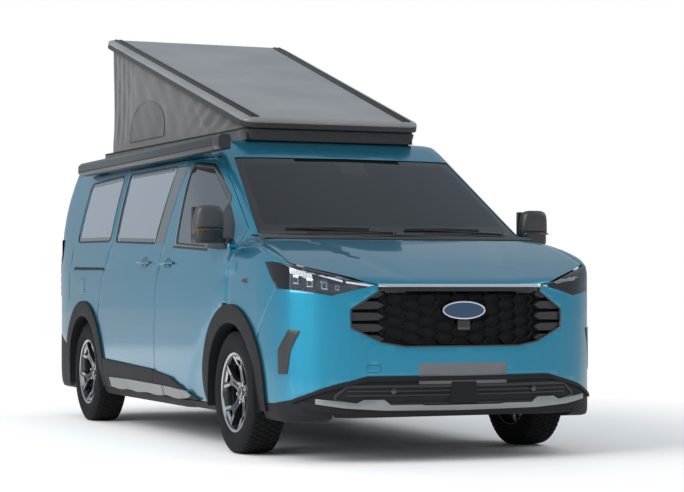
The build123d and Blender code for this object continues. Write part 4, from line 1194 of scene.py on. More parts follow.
def lampShell():
    # the lamp's solid split into its clear front and its housing, each given a wall
    bm = panelMesh("headlamps", 0.03)
    p = np.array([v.co for v in bm.verts], float)
    level = sharpDepth(p)
    q = shaped(p)
    outer = {}
    for v, c, d in zip(bm.verts, q, level):
        v.co = c
        outer[v.index] = d > -0.002
    front = [f for f in bm.faces if all(outer[v.index] for v in f.verts)]
    lensMesh = bmesh.new()
    wallMesh = bmesh.new()
    for target, faces in ((lensMesh, front), (wallMesh, [f for f in bm.faces if f not in set(front)])):
        made = {}
        for f in faces:
            for v in f.verts:
                if v.index not in made:
                    made[v.index] = target.verts.new(v.co)
            target.faces.new([made[v.index] for v in f.verts])
    bm.free()
    for name, part, material in (("lampLens", lensMesh, lampPane), ("lampHousing", wallMesh, lampInner)):
        bmesh.ops.recalc_face_normals(part, faces=part.faces)
        mesh = bpy.data.meshes.new(name)
        part.to_mesh(mesh)
        part.free()
        obj = placed(name, mesh)
        mesh.materials.append(material)
        solid = obj.modifiers.new("thick", "SOLIDIFY")
        solid.thickness = lamps["wall"]
        solid.offset = -1
        settle(applyModifiers(obj), "body", 35)
    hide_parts("headlamps")


lampPane = paneGlass("lampPane", (0.86, 0.88, 0.90), 0.02)
lampShell()


def makeLampInsides():
    # inner parts of the left lamp in u and height; the right lamp's are their mirror image
    deck = [(uOfX(0.52), 0.930), (uOfX(0.62), 0.915), (uOfX(0.725), 0.902), (uOfX(0.93), 0.940),
            (uOfY(-2.04), 1.06), (uOfX(0.88), 1.055), (uOfX(0.80), 1.025), (uOfX(0.52), 0.944)]
    wrapPatch("lampDeck", deck, -0.040, -0.050, lampInner, step=0.03, both=True)
    upper = [(uOfX(0.70), 0.985), (uOfY(-2.10), 1.065), (uOfY(-2.03), 1.082), (uOfX(0.87), 1.062),
             (uOfX(0.80), 1.037), (uOfX(0.66), 0.994)]
    wrapPatch("lampBrow", upper, -0.010, -0.030, glossBlack, step=0.03, edge=0.002, both=True)
    thick = lamps["stripHalf"]
    for i, ((xa, za), (xb, zb)) in enumerate(lamps["strips"]):
        loop = nosePoints([(xa, za - thick), (xb, zb - thick), (xb, zb + thick), (xa, za + thick)])
        if i == 2:
            loop = [(uOfX(xa), za - thick), (uOfX(xb), zb - thick), (uOfX(xb) + 0.014, zb + 0.02),
                    (uOfX(xb), zb + 0.02), (uOfX(xb) - 0.006, zb + thick), (uOfX(xa), za + thick)]
        wrapPatch("dayLight" + "ABC"[i], loop, -0.006, -0.020, ledWhite, step=0.02, edge=0.0015, both=True)
    for i, (x, z, r) in enumerate(lamps["cups"]):
        u = uOfX(x)
        cup = rounded([(u - r, z - r * 1.2), (u + r, z - r), (u + r * 1.1, z + r * 1.35),
                       (u - r, z + r * 1.1)], 0.004)
        wrapPatch("lampCup" + "ABCD"[i], cup, -0.016, -0.045, reflector, step=0.02, edge=0.003, both=True)
        core = [(u - r * .45, z - r * .8), (u + r * .45, z - r * .7), (u + r * .5, z + r * .8),
                (u - r * .45, z + r * .7)]
        core = rounded(core, 0.002)
        wrapPatch("lampCore" + "ABCD"[i], core, -0.013, -0.020, glossBlack, step=0.02, edge=0.001, both=True)


makeLampInsides()
print("lamps made")


# wheels, drawn about their own axle with x outward
wheel = {"spokes": 5, "blocks": 60, "hubDish": 0.046, "lipOut": 0.083, "nuts": 5, "nutCircle": 0.056,
         "nutHalf": 0.0105, "halfTrack": 0.868, "axleHeight": 0.345,
         "axles": {"front": -1.525, "rear": 1.575}, "spin": {"front": 0.12, "rear": 0.55},
         "archRadius": 0.3915}


def dishAt(r):
    t = np.clip((r - 0.045) / 0.160, 0, 1)
    return wheel["hubDish"] + (wheel["lipOut"] - wheel["hubDish"]) * t ** 1.35


def wheelPlate(name, loops, material, lift, thick, edge=0.002):
    # flat outlines in (across, radius), dished to follow the wheel's face
    parts = []
    for loop in loops:
        flat, faces = outlineTriangles(loop, [], 0.014)
        a = np.array(flat)
        front = dishAt(np.hypot(a[:, 0], a[:, 1])) + lift
        verts = [(x, u, r) for x, (u, r) in zip(front, a)]
        verts += [(x - thick, u * 0.97, r) for x, (u, r) in zip(front, a)]
        obj = meshObject(name, verts, slabFaces(faces, len(a)), material, smooth=False)
        parts.append(addBevel(obj, edge, 2, 50) if edge else obj)
    return joined(name, parts)


def makeRim():
    half = [(0.0, 0.040), (0.030, 0.040), (0.0235, 0.075), (0.021, 0.112), (0.030, 0.140), (0.066, 0.186),
            (0.078, 0.198), (0.060, 0.2045), (0.044, 0.196), (0.016, 0.158), (0.0, 0.152)]
    spoke = half + [(-a, b) for a, b in reversed(half[1:-1])]
    dark = copies("rimSpokes", wheelPlate("spoke", [spoke], rimBlack, 0.0, 0.030), "ring", rimBlack,
                  wheel["spokes"])
    slot = [(-0.006, 0.062), (0.006, 0.062), (0.0045, 0.125), (-0.0045, 0.125)]
    slots = copies("rimSlots", wheelPlate("slot", [slot], grooveAndShade, 0.0006, 0.002, 0), "ring", grooveAndShade,
                   wheel["spokes"])
    arm = [(0.0335, 0.146), (0.040, 0.150), (0.073, 0.1925), (0.072, 0.1975), (0.061, 0.2015), (0.049, 0.190),
           (0.029, 0.157)]
    web = [(-0.030, 0.182), (0.030, 0.182), (0.040, 0.202), (-0.040, 0.202)]
    armLoops = [arm, [(-a, b) for a, b in reversed(arm)]]
    bright = copies("rimBright", wheelPlate("brightArm", armLoops, machined, 0.0022, 0.004, 0.0008), "ring",
                    machined, wheel["spokes"])
    bridge = copies("rimBridges", wheelPlate("bridge", [web], machined, 0.0005, 0.010, 0.001), "ring",
                    machined, wheel["spokes"])
    barrel = lathe("rimBarrel", [(0.0945, 0.2255), (0.0950, 0.2190), (0.0905, 0.2120), (0.0840, 0.2065),
                                 (0.0600, 0.2020), (0.0100, 0.1960), (-0.0500, 0.1980), (-0.0880, 0.2080),
                                 (-0.0950, 0.2180), (-0.0950, 0.2255), (-0.0700, 0.2240), (0.0700, 0.2240)],
                   rimBlack, segments=120)
    lipSection = [(0.0955, 0.2225), (0.0955, 0.2190), (0.0915, 0.2118), (0.0900, 0.2130), (0.0925, 0.2195),
                  (0.0930, 0.2225)]
    lip = lathe("rimLip", lipSection, machined, segments=120)
    hub = lathe("rimHub", [(0.030, 0.0005), (0.030, 0.062), (0.044, 0.066), (0.050, 0.058), (0.050, 0.036),
                           (0.053, 0.034), (0.053, 0.0005)], rimBlack, segments=64, closed=True)
    cap = lathe("rimCap", [(0.050, 0.0004), (0.050, 0.030), (0.057, 0.029), (0.060, 0.024), (0.061, 0.0004)],
                satinBlack, segments=48)
    ringSection = [(0.0572, 0.0235), (0.0572, 0.0275), (0.0595, 0.0268), (0.0606, 0.0235)]
    capRing = lathe("rimCapRing", ringSection, chrome, segments=48)
    nutLoop = ellipse(0, wheel["nutCircle"], wheel["nutHalf"], wheel["nutHalf"], 6)
    nut = prismMesh("nut", nutLoop, "x", 0.040, 0.060, chrome, 0.002)
    nuts = copies("rimNuts", nut, "ring", chrome, wheel["nuts"], axis=(1, 0, 0))
    nuts.data.transform(Matrix.Rotation(math.pi / wheel["nuts"], 4, "X"))
    disc = lathe("brakeDisc", [(-0.0275, 0.072), (-0.0275, 0.149), (-0.0195, 0.150), (-0.0195, 0.141),
                               (-0.0145, 0.141), (-0.0145, 0.150), (-0.0065, 0.149), (-0.0065, 0.076),
                               (0.020, 0.074), (0.020, 0.034), (-0.0275, 0.034)], brakeSteel, segments=96)
    valve = tube("valve", [(0.080, 0.0, -0.204), (0.092, 0.0, -0.196)], 0.0035, satinBlack, 8)
    return joined("rim", [dark, slots, bright, bridge, barrel, lip, hub, cap, capRing, nuts, disc, valve])


def makeTyre():
    side = smoothLine([(0.0945, 0.2262), (0.1010, 0.2360), (0.1060, 0.2560), (0.1074, 0.2780),
                       (0.1050, 0.3020), (0.0985, 0.3220), (0.0900, 0.3330), (0.0790, 0.3395)], 0.004)
    outer = []
    for x, r in side:
        raised = 0.0012 if 0.287 < r < 0.292 or 0.236 < r < 0.240 else 0.0
        outer.append((x + raised - 0.0008, r))
    tread = []
    for x in np.linspace(0.072, -0.072, 37):
        tread.append((float(x), 0.3395 + 0.0008 * (1 - (x / 0.072) ** 2)))
    profile = outer + tread + [(-x, r) for x, r in reversed(outer)] + [(-0.0700, 0.2262), (0.0700, 0.2262)]
    body = lathe("tyreBody", profile, rubber, segments=128, angle=28)
    blockFaces = [(0, 1, 2, 3), (7, 6, 5, 4), (0, 4, 5, 1), (1, 5, 6, 2), (2, 6, 7, 3), (3, 7, 4, 0)]
    blocks = []
    for x0, x1, lag in ((-0.0885, -0.058, 0.0), (-0.050, -0.020, 0.5), (-0.0135, 0.0135, 0.2),
                        (0.020, 0.050, 0.7), (0.058, 0.0885, 0.3)):
        half = math.pi / wheel["blocks"] * 0.80
        mid = lag * 2 * math.pi / wheel["blocks"]
        skew = 0.012
        verts = []
        for x, s in ((x0, -skew), (x1, skew)):
            top = 0.3448 - (0.0035 if abs(x) > 0.08 else 0.0)
            foot, head = half, half * 0.9
            for a, r in ((mid - foot + s, 0.335), (mid + foot + s, 0.335), (mid + head + s, top),
                         (mid - head + s, top)):
                verts.append((x, r * math.sin(a), r * math.cos(a)))
        blocks.append(meshObject("block", verts, blockFaces, rubber, smooth=False))
    tread = copies("tyreTread", joined("blockRow", blocks), "ring", rubber, wheel["blocks"])
    lug = [(-0.004, 0.308), (0.004, 0.308), (0.006, 0.330), (-0.006, 0.330)]
    depths = (0.1035, 0.1035, 0.0915, 0.0915, 0.098, 0.098, 0.086, 0.086)
    verts = [(x, *lug[i % 4]) for i, x in enumerate(depths)]
    sideLug = meshObject("sideLug", verts, blockFaces, rubber, smooth=False)
    outerLugs = copies("tyreLugs", sideLug, "ring", rubber, wheel["blocks"])
    innerLugs = mirrorCopy(outerLugs, "tyreLugsIn")
    return joined("tyre", [body, tread, outerLugs, innerLugs])


def placeWheels():
    rimMaster, tyreMaster = makeRim(), makeTyre()
    for axle, y in wheel["axles"].items():
        for side, sign in (("left", 1), ("right", -1)):
            for kind, master in (("rim", rimMaster), ("tyre", tyreMaster)):
                mesh = master.data.copy()
                mesh.transform(Matrix.Rotation(wheel["spin"][axle], 4, "X"))
                if sign < 0:
                    mirrorMesh(mesh)
                mesh.transform(Matrix.Translation((wheel["halfTrack"] * sign, y, wheel["axleHeight"])))
                obj = placed(kind + axle.title() + side.title(), mesh)
                settle(obj, "wheel_" + axle + "_" + side, 0, [kind + "_" + axle + "_" + side])
    for master in (rimMaster, tyreMaster):
        bpy.data.objects.remove(master)


placeWheels()
print("wheels made")


# lifting roof, drawn closed and turned to its open place
roof = {"tilt": 16.2, "hingeX": 0.430, "hingeY": -0.600, "hingeZ": 1.950, "front": -0.655, "rear": 2.185,
        "frontHalf": 0.592, "rearHalf": 0.702, "corner": 0.090, "rim": 1.929, "seam": 1.962, "top": 1.991,
        "plinth": 1.924, "canvasFront": -0.540, "canvasRear": 2.026, "frontX": 0.548, "rearX": 0.660,
        "canvasThick": 0.0022, "canvasRows": 26}
roofTurn = (Matrix.Translation((0, roof["hingeY"], roof["hingeZ"]))
            @ Matrix.Rotation(math.radians(roof["tilt"]), 4, "X")
            @ Matrix.Translation((0, -roof["hingeY"], -roof["hingeZ"])))


def loft(name, rings, material, closed=True, angle=35):
    # a skin through rings of equal count, joined round when closed and capped at both ends otherwise
    count, n = len(rings[0]), len(rings)
    verts = [tuple(p) for ring in rings for p in ring]
    faces = []
    for i in range(n if closed else n - 1):
        j = (i + 1) % n
        for k in range(count):
            m = (k + 1) % count
            faces.append((i * count + k, i * count + m, j * count + m, j * count + k))
    if not closed:
        faces.append(tuple(reversed(range(count))))
        faces.append(tuple(range((n - 1) * count, n * count)))
    return finishMesh(name, meshOf(verts, faces), material, True, angle)


def meshOf(verts, faces):
    mesh = bpy.data.meshes.new("loft")
    mesh.from_pydata(verts, [], faces)
    bm = bmesh.new()
    bm.from_mesh(mesh)
    bmesh.ops.recalc_face_normals(bm, faces=bm.faces)
    bm.to_mesh(mesh)
    bm.free()
    return mesh


def makeRoofShell():
    plan = rounded([(-roof["frontHalf"], roof["front"]), (roof["frontHalf"], roof["front"]),
                    (roof["rearHalf"], roof["rear"]), (-roof["rearHalf"], roof["rear"])], roof["corner"], 8)

    def rings(profile):
        return [[(x, y, z) for x, y in offsetLoop(plan, a)] for a, z in profile]

    rim, seam, top = roof["rim"], roof["seam"] + 0.001, roof["top"]
    lower = [(-0.003, rim), (0, rim + 0.004), (0, roof["seam"]), (-0.022, roof["seam"]),
             (-0.022, rim + 0.002), (-0.020, rim)]
    upper = [(-0.024, seam + 0.007), (-0.024, seam), (-0.001, seam), (-0.0004, seam + 0.008),
             (-0.004, seam + 0.016), (-0.012, top - 0.0065), (-0.024, top - 0.0028), (-0.040, top - 0.0006),
             (-0.052, top), (-0.056, top)]
    parts = [loft("shellBand", rings(lower), satinBlack),
             loft("shellTop", rings(upper), roofGrey, closed=False)]
    for sign in (-1, 1):
        def railLoop(a, b):
            start, end = roof["front"] + 0.045, roof["rear"] - 0.055
            return [(sign * (roof["frontHalf"] - a), start), (sign * (roof["rearHalf"] - a), end),
                    (sign * (roof["rearHalf"] - b), end), (sign * (roof["frontHalf"] - b), start)]

        base = railLoop(0.052, 0.112)
        parts.append(prismMesh("railBase", base, "z", top - 0.003, top + 0.003, satinBlack, 0.001))
        for a in (0.055, 0.066, 0.088, 0.099):
            ridge = railLoop(a, a + 0.008)
            parts.append(prismMesh("railRidge", ridge, "z", top, top + 0.008, satinBlack, 0.001))
    for x in (-roof["hingeX"], roof["hingeX"]):
        y, z = roof["hingeY"], roof["hingeZ"]
        for web in (x - 0.018, x + 0.018):
            low, high = (web - 0.005, y - 0.012, z - 0.008), (web + 0.005, y + 0.012, z + 0.023)
            parts.append(boxMesh("hingeWeb", low, high, satinBlack, 0.001))
        pin = [(-0.023, 0.0004), (-0.023, 0.007), (0.023, 0.007), (0.023, 0.0004)]
        parts.append(lathe("hingePin", pin, brakeSteel, centre=(x, y, z), segments=24))
    obj = joined("roofShell", parts)
    obj.data.transform(roofTurn)
    settle(obj, "roof_shell_body", 0, ["roof_shell"])


def shellUnder(y):
    # height of the raised shell's underside
    slope = math.radians(roof["tilt"])
    rise = math.tan(slope) * (y - roof["hingeY"] + 0.020 * math.sin(slope))
    return roof["hingeZ"] + 0.020 * math.cos(slope) + rise - 0.001


def canvasHalf(y):
    # half width of the flat canvas wall
    share = (y - roof["canvasFront"]) / (roof["canvasRear"] - roof["canvasFront"])
    return roof["frontX"] + (roof["rearX"] - roof["frontX"]) * share


def foldAt(wall, along, z):
    # how far the cloth stands out of its flat wall: gathers at the rear, slanting folds towards the front
    y = along if wall in ("left", "right") else roof["canvasRear"]
    top = shellUnder(y)
    t = np.clip((z - roof["plinth"]) / max(top - roof["plinth"], 0.02), 0, 1)
    ease = min(1.0, 5 * t + 0.05) * min(1.0, 6 * (1 - t) + 0.25)
    if wall == "front":
        return 0.002 * math.sin(along * 31) * ease
    if wall == "rear":
        d = 0.0035 * math.sin(along * 47 + 1.4 * math.sin(z * 5)) + 0.003 * math.sin(along * 19 + z * 2)
        return (d - 0.018 * math.sin(math.pi * t) * math.cos(along * 2.2)) * ease
    back = np.clip((along - 1.45) / 0.45, 0, 1)
    front = np.clip((0.55 - along) / 0.5, 0, 1)
    gather = 0.0038 * math.sin(along * 62 + 1.2 * math.sin(z * 4.2) + 5 * t) * back
    swell = 0.4 + 0.6 * math.sin(math.pi * t)
    slant = 0.0075 * math.sin((along * 0.9 + (z - 1.93) * 1.9) * 26) * front * swell
    calm = 0.0022 * math.sin(along * 17 + z * 6) + 0.0016 * math.sin(along * 29 - z * 23)
    pull = 0.006 * math.exp(-((along - 0.1 - (z - 1.95) * 1.2) / 0.05) ** 2) * (1 if along < 1.0 else 0)
    return (gather + slant + calm + pull - 0.014 * math.sin(math.pi * t) * (0.5 + 0.5 * back)) * ease


def canvasPath():
    corners = [(-roof["frontX"], roof["canvasFront"]), (-roof["rearX"], roof["canvasRear"]),
               (roof["rearX"], roof["canvasRear"]), (roof["frontX"], roof["canvasFront"])]
    return evenSteps(rounded(corners, 0.030, 5), 0.017)


def wallOf(x, y):
    if y > roof["canvasRear"] - 0.012:
        return "rear", x
    if y < roof["canvasFront"] + 0.012:
        return "front", x
    return ("left" if x > 0 else "right"), y


def makeCanvas():
    path = canvasPath()
    inner = offsetLoop(path, -1.0)
    rows = roof["canvasRows"]
    rings = []
    for face in (0, 1):
        for r in range(rows) if face == 0 else reversed(range(rows)):
            t = r / (rows - 1)
            ring = []
            for (x, y), (ix, iy) in zip(path, inner):
                nx, ny = x - ix, y - iy
                size = math.hypot(nx, ny)
                nx, ny = nx / size, ny / size
                z = roof["plinth"] + 0.0005 + (shellUnder(y) - roof["plinth"] - 0.0005) * t
                wall, along = wallOf(x, y)
                d = foldAt(wall, along, z) - (roof["canvasThick"] if face else 0.0)
                ring.append((x + nx * d, y + ny * d, z))
            rings.append(ring)
    cloth = loft("canvas", rings, canvasCloth, angle=70)
    middle, foot = 1.271, 1.975
    arch = [(middle - 0.356, foot)]
    arch += [(middle + 0.356 * math.cos(math.pi - a), 2.035 + 0.205 * math.sin(a))
             for a in np.linspace(0, math.pi, 17)]
    arch.append((middle + 0.356, foot))
    flat, faces = outlineTriangles(arch, [], 0.03)
    panes = []
    for side in (-1, 1):
        wall = "left" if side > 0 else "right"
        verts = []
        for lift, wrinkle in ((0.0042, 1), (0.0006, 0)):
            for y, z in flat:
                crease = 0.0014 * math.sin(y * 21 + z * 14) + 0.0010 * math.sin((y - z * 1.4) * 43)
                verts.append((side * (canvasHalf(y) + foldAt(wall, y, z) + lift + crease * wrinkle), y, z))
        panes.append(meshObject("canvasWindow", verts, slabFaces(faces, len(flat)), canvasFlap, angle=50))
        border = [(side * (canvasHalf(y) + foldAt(wall, y, z) + 0.003), y, z) for y, z in arch + [arch[0]]]
        panes.append(tube("canvasPiping", border, 0.0028, canvasBand, 8))
    obj = settle(joined("roofCanvas", [cloth] + panes), "body", 0, ["roof_canvas"])
    side = 2.568 * ((shellUnder(roof["canvasFront"]) + shellUnder(roof["canvasRear"])) / 2 - roof["plinth"])
    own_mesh(obj)


def makeSkirt():
    # the dark gathered band round the roof's ring
    base = rounded([(-0.556, -0.610), (0.556, -0.610), (0.672, 2.170), (-0.672, 2.170)], 0.040, 6)
    path = evenSteps(base, 0.02)
    far = offsetLoop(path, 1.0)
    rings = []
    profile = [(0.0015, 1.846), (0.006, 1.862), (0.012, 1.880), (0.017, 1.896), (0.021, 1.909),
               (0.0185, 1.910), (0.014, 1.896), (0.009, 1.880), (0.003, 1.862), (-0.001, 1.846)]
    for a, z in profile:
        ring = []
        for (x, y), (ox, oy) in zip(path, far):
            nx, ny = ox - x, oy - y
            size = math.hypot(nx, ny)
            wave = 0.0022 * math.sin(x * 37 + y * 31 + z * 40) * min(1, max(0, (z - 1.846) / 0.03))
            wave += 0.001 * math.sin(x * 83 - z * 110)
            push = (a + wave) * (1.0 if y < -0.5 else 0.55)
            ring.append((x + nx / size * push, y + ny / size * push, z))
        rings.append(ring)
    return loft("roofSkirt", rings, canvasBand, angle=60)


awning = {"outer": -0.925, "inner": -0.838, "low": 1.745, "high": 1.838, "front": -1.119,
          "clothFront": -1.015, "clothRear": 1.978, "rear": 2.001, "feet": (-0.620, 0.620, 1.860)}


def makeAwning():
    out, low, high = awning["outer"], awning["low"], awning["high"]
    outline = [(awning["inner"], low), (out + 0.020, low), (out, low + 0.020), (out, high - 0.023),
               (out + 0.025, high), (awning["inner"] - 0.012, high), (awning["inner"], high - 0.012)]
    shape = rounded(outline, 0.014, 5)
    cap = offsetLoop(shape, -0.0006)
    start, end = awning["clothFront"], awning["clothRear"]
    parts = [prismMesh("awningCase", shape, "y", start, end, awningMetal, 0.0012),
             prismMesh("awningCapFront", cap, "y", awning["front"], start + 0.002, satinBlack, 0.012,
                       segments=4),
             prismMesh("awningCapRear", cap, "y", end - 0.002, awning["rear"], satinBlack, 0.006),
             boxMesh("awningSlot", (out - 0.0006, start + 0.005, 1.7700), (out + 0.005, end - 0.004, 1.7735),
                     grooveAndShade),
             boxMesh("awningRib", (out - 0.0012, start + 0.005, 1.7655), (out + 0.005, end - 0.004, 1.7690),
                     awningMetal, 0.001)]
    for y in awning["feet"]:
        low, high = (-0.850, y - 0.040, 1.762), (-0.772, y + 0.040, 1.820)
        parts.append(boxMesh("awningFoot", low, high, satinBlack, 0.003))
    obj = joined("awning", parts)
    for v in obj.data.vertices:
        v.co.x = max(v.co.x, out - 0.0008)
    settle(obj, "body", 0, ["awning_cassette"])


canvasFlap = wovenCloth("canvasFlap", shaded(0.72, finish["canvasGrey"]), 900, 0.0005)
makeRoofShell()
makeCanvas()
skirt = makeSkirt()
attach(skirt, "body")
makeAwning()
print("roof, canvas and awning made")


# sides: window surrounds, seams, handles, sill insert, mirrors
def bothSides(make):
    for side, label in ((-1, "Right"), (1, "Left")):
        make(side, label)


def band(name, loop, width, level, material, side, body="body", step=0.05, edge=0.0, depth=0.004):
    # a frame of even width round an outline, lying on the side
    return surfacePatch(name, offsetLoop(loop, width), "side", level, level - depth, material, [loop], step,
                        side, edge, body)


sideLines = {
    "slider": [(0.003, 1.222), (0.905, 1.250), (0.925, 1.694), (-0.118, 1.694)],
    "quarter": [(1.052, 1.258), (1.893, 1.268), (1.878, 1.640), (1.850, 1.676), (1.062, 1.694)],
    "door": [(-0.446, 1.203), (-1.040, 1.172), (-1.052, 1.448), (-0.672, 1.662), (-0.401, 1.688)],
}


def makeWindowTrim(side, label):
    slider = rounded(sideLines["slider"], 0.03)
    quarter = rounded(sideLines["quarter"], 0.045)
    door = rounded(sideLines["door"], 0.035)
    on = "front_door_" + label.lower() + "_body"
    band("sliderSeal" + label, slider, 0.012, 0.0012, sealRubber, side)
    band("quarterSeal" + label, quarter, 0.012, 0.0012, sealRubber, side)
    band("doorSeal" + label, door, 0.026, 0.0016, glossBlack, side, on, edge=0.0008)
    band("doorSealInner" + label, offsetLoop(door, -0.009), 0.010, -0.0035, sealRubber, side, on)
    for name, loop in (("sliderPrint", slider), ("quarterPrint", quarter)):
        band(name + label, offsetLoop(loop, -0.024), 0.025, -0.0022, blackBorder, side, depth=0.0012)
    post = [(-0.020, 1.212), (-0.190, 1.206), (-0.205, 1.300), (-0.330, 1.696), (-0.135, 1.700),
            (-0.128, 1.688)]
    surfacePatch("pillarCoverRear" + label, post, "side", 0.0012, -0.004, glossBlack, step=0.05, side=side)
    sail = [(-1.046, 1.168), (-1.200, 1.160), (-1.330, 1.160), (-1.345, 1.196), (-1.245, 1.310),
            (-1.110, 1.410), (-1.058, 1.442)]
    sail = rounded(sail, 0.02)
    surfacePatch("sail" + label, sail, "side", 0.004, -0.006, satinBlack, step=0.04, side=side, edge=0.003,
                 body=on)
    belt = [(-1.05, 1.150), (-0.40, 1.180), (-0.40, 1.192), (-1.05, 1.164)]
    surfacePatch("doorWaist" + label, belt, "side", 0.003, -0.004, sealRubber, step=0.06, side=side,
                 edge=0.0015, body=on)


def makeHandle(side, label, y, z, on, turn):
    bowl = ellipse(y, z, 0.060, 0.030, 28)
    # the bowl takes the half-bright paint: painted shade in the recess
    surfacePatch("handleBowl" + label + on, bowl, "side", 0.0006, -0.004, handleShade, step=0.02, side=side,
                 body=on)
    outer, inner = offsetLoop(bowl, 0.003), offsetLoop(bowl, -0.0005)
    surfacePatch("handleRing" + label + on, outer, "side", 0.0009, -0.003, grooveAndShade, [inner], 0.03, side,
                 body=on)
    centre = onSurface([(y, z)], "side", 0.0, side)[0]
    ends = []
    for t in np.linspace(-1, 1, 15):
        lift = 0.030 * (1 - abs(t) ** 3.5) + 0.002
        ends.append((centre[0] + side * lift, y + 0.112 * t, z + turn * t))
    bar = tube("handle", ends, 0.012, paint, 16, flat=0.62)
    lock = lathe("lock", [(0.0, 0.0004), (0.0, 0.009), (0.003, 0.009), (0.004, 0.0004)], chrome, segments=24)
    place = Matrix.Translation((centre[0] + side * 0.001, y + 0.092, z - 0.004))
    lock.data.transform(place @ Matrix.Scale(side, 4, (1, 0, 0)))
    joined("doorHandle" + label + on.title().replace("_", ""), [bar, lock], body=on)


def makeSideTrim(side, label):
    on = "front_door_" + label.lower() + "_body"
    makeHandle(side, label, 0.149, 1.097, "body", 0.003)
    makeHandle(side, label, -0.344, 1.084, on, -0.003)
    rail = [(1.099, 1.058), (1.886, 1.066), (1.886, 1.084), (1.099, 1.073)]
    surfacePatch("slideRail" + label, rail, "side", 0.0012, -0.012, grooveAndShade, step=0.06, side=side)
    lip = [(1.092, 1.055), (1.892, 1.063), (1.892, 1.066), (1.092, 1.058)]
    surfacePatch("slideRailLip" + label, lip, "side", 0.005, -0.004, satinBlack, step=0.06, side=side,
                 edge=0.001)
    seam = [(1.992, 1.24), (1.996, 1.24), (2.004, 0.84), (2.000, 0.84)]
    surfacePatch("rearCornerSeam" + label, seam, "side", 0.0006, -0.004, grooveAndShade, step=0.06, side=side)
    if side < 0:
        flap = rounded([(1.560, 0.890), (1.690, 0.890), (1.690, 1.000), (1.560, 1.000)], 0.022)
        surfacePatch("fuelSeam", offsetLoop(flap, 0.0022), "side", 0.0005, -0.01, grooveAndShade, [flap], 0.03, side)
        surfacePatch("fuelFlap", flap, "side", 0.0008, -0.01, paint, step=0.03, side=side, edge=0.001)


def sillPiece(side, label):
    top = [(0.945, 0.332), (0.500, 0.335), (0.0, 0.330), (-0.400, 0.325), (-0.700, 0.315), (-0.769, 0.290)]
    bottom = []
    for i in range(4):
        a, b = -0.700 + i * 0.41, -0.700 + (i + 1) * 0.41
        for t in np.linspace(0, 1, 9)[:-1]:
            bottom.append((a + (b - a) * t, 0.272 - 0.013 * math.sin(math.pi * t)))
    loop = top + bottom + [(0.940, 0.272)]
    door = "front_door_" + label.lower() + "_body"
    for name, low, high, body in (("Rear", -0.231, 2, "body"), ("Front", -2, -0.250, door)):
        part = clipLoop(loop, low, high)
        name = "sillInsert" + name + label
        surfacePatch(name, part, "side", 0.020, 0.004, sillSilver, step=0.05, side=side, edge=0.003,
                     body=body)


def clipLoop(loop, low, high):
    # the part of an outline between two values of its first coordinate
    out = loop
    for limit, sign in ((low, 1), (high, -1)):
        kept = []
        for i, b in enumerate(out):
            a = out[i - 1]
            inA, inB = (a[0] - limit) * sign >= 0, (b[0] - limit) * sign >= 0
            if inA != inB:
                t = (limit - a[0]) / (b[0] - a[0])
                kept.append((limit, a[1] + (b[1] - a[1]) * t))
            if inB:
                kept.append(b)
        out = kept
    return out


def mirrorSolid(name, centre, size, material):
    # a rounded housing: superellipsoid about its centre, flattened towards the rear
    verts, faces = [], []
    rows, cols = 22, 36

    def power(v, e):
        return math.copysign(abs(v) ** e, v)

    for i in range(rows + 1):
        b = -math.pi / 2 + math.pi * i / rows
        for j in range(cols):
            a = 2 * math.pi * j / cols
            x = power(math.cos(b), 0.45) * power(math.cos(a), 0.5)
            y = power(math.cos(b), 0.45) * power(math.sin(a), 0.7)
            z = power(math.sin(b), 0.5)
            y = y * 0.25 if y > 0 else y
            narrow = x * size[0] * (1 - 0.10 * z)
            verts.append((centre[0] + narrow, centre[1] + y * size[1] - 0.012 * z, centre[2] + z * size[2]))
    for i in range(rows):
        for j in range(cols):
            k = (j + 1) % cols
            faces.append((i * cols + j, i * cols + k, (i + 1) * cols + k, (i + 1) * cols + j))
    obj = finishMesh(name, meshOf(verts, faces), material, True, 50)
    bm = bmesh.new()
    bm.from_mesh(obj.data)
    bmesh.ops.remove_doubles(bm, verts=bm.verts, dist=1e-5)
    bmesh.ops.recalc_face_normals(bm, faces=bm.faces)
    bm.to_mesh(obj.data)
    bm.free()
    return obj


def makeMirror(side, label):
    cap = mirrorSolid("mirrorCap", (1.047, -1.302, 1.316), (0.0895, 0.060, 0.089), mirrorCap)
    under = mirrorSolid("mirrorUnder", (1.046, -1.300, 1.236), (0.087, 0.056, 0.050), satinBlack)
    waist = mirrorSolid("mirrorWaist", (1.0465, -1.301, 1.272), (0.0885, 0.0575, 0.010), grooveAndShade)
    rim = boxMesh("mirrorRim", (0.966, -1.262, 1.192), (1.130, -1.243, 1.398), satinBlack, 0.012, 4)
    glassMain = boxMesh("mirrorGlass", (0.976, -1.246, 1.262), (1.120, -1.2415, 1.388), mirrorFace, 0.006, 3)
    glassLow = boxMesh("mirrorGlassLow", (0.978, -1.246, 1.204), (1.118, -1.2415, 1.250), mirrorFace, 0.006,
                       3)
    reach = [(0.925, -1.297, 1.196), (0.955, -1.298, 1.204), (0.985, -1.299, 1.216), (1.030, -1.300, 1.230)]
    arm = tube("mirrorArm", reach, 0.021, satinBlack, 20, flat=0.8)
    foot = boxMesh("mirrorFoot", (0.905, -1.335, 1.183), (0.944, -1.255, 1.222), satinBlack, 0.008, 3)
    lamp = boxMesh("mirrorLamp", (1.060, -1.3650, 1.258), (1.128, -1.340, 1.268), amberLens, 0.003, 2)
    obj = joined("mirror" + label, [cap, under, waist, rim, glassMain, glassLow, arm, foot, lamp])
    for v in obj.data.vertices:
        v.co.z = min(max(v.co.z, 1.1825), 1.4065)
        v.co.y = min(max(v.co.y, -1.3715), -1.2405)
        v.co.x = min(v.co.x, 1.1365)
    if side < 0:
        mirrorMesh(obj.data)
    settle(obj, "front_door_" + label.lower() + "_body", 0, ["door_mirror_" + label.lower()])


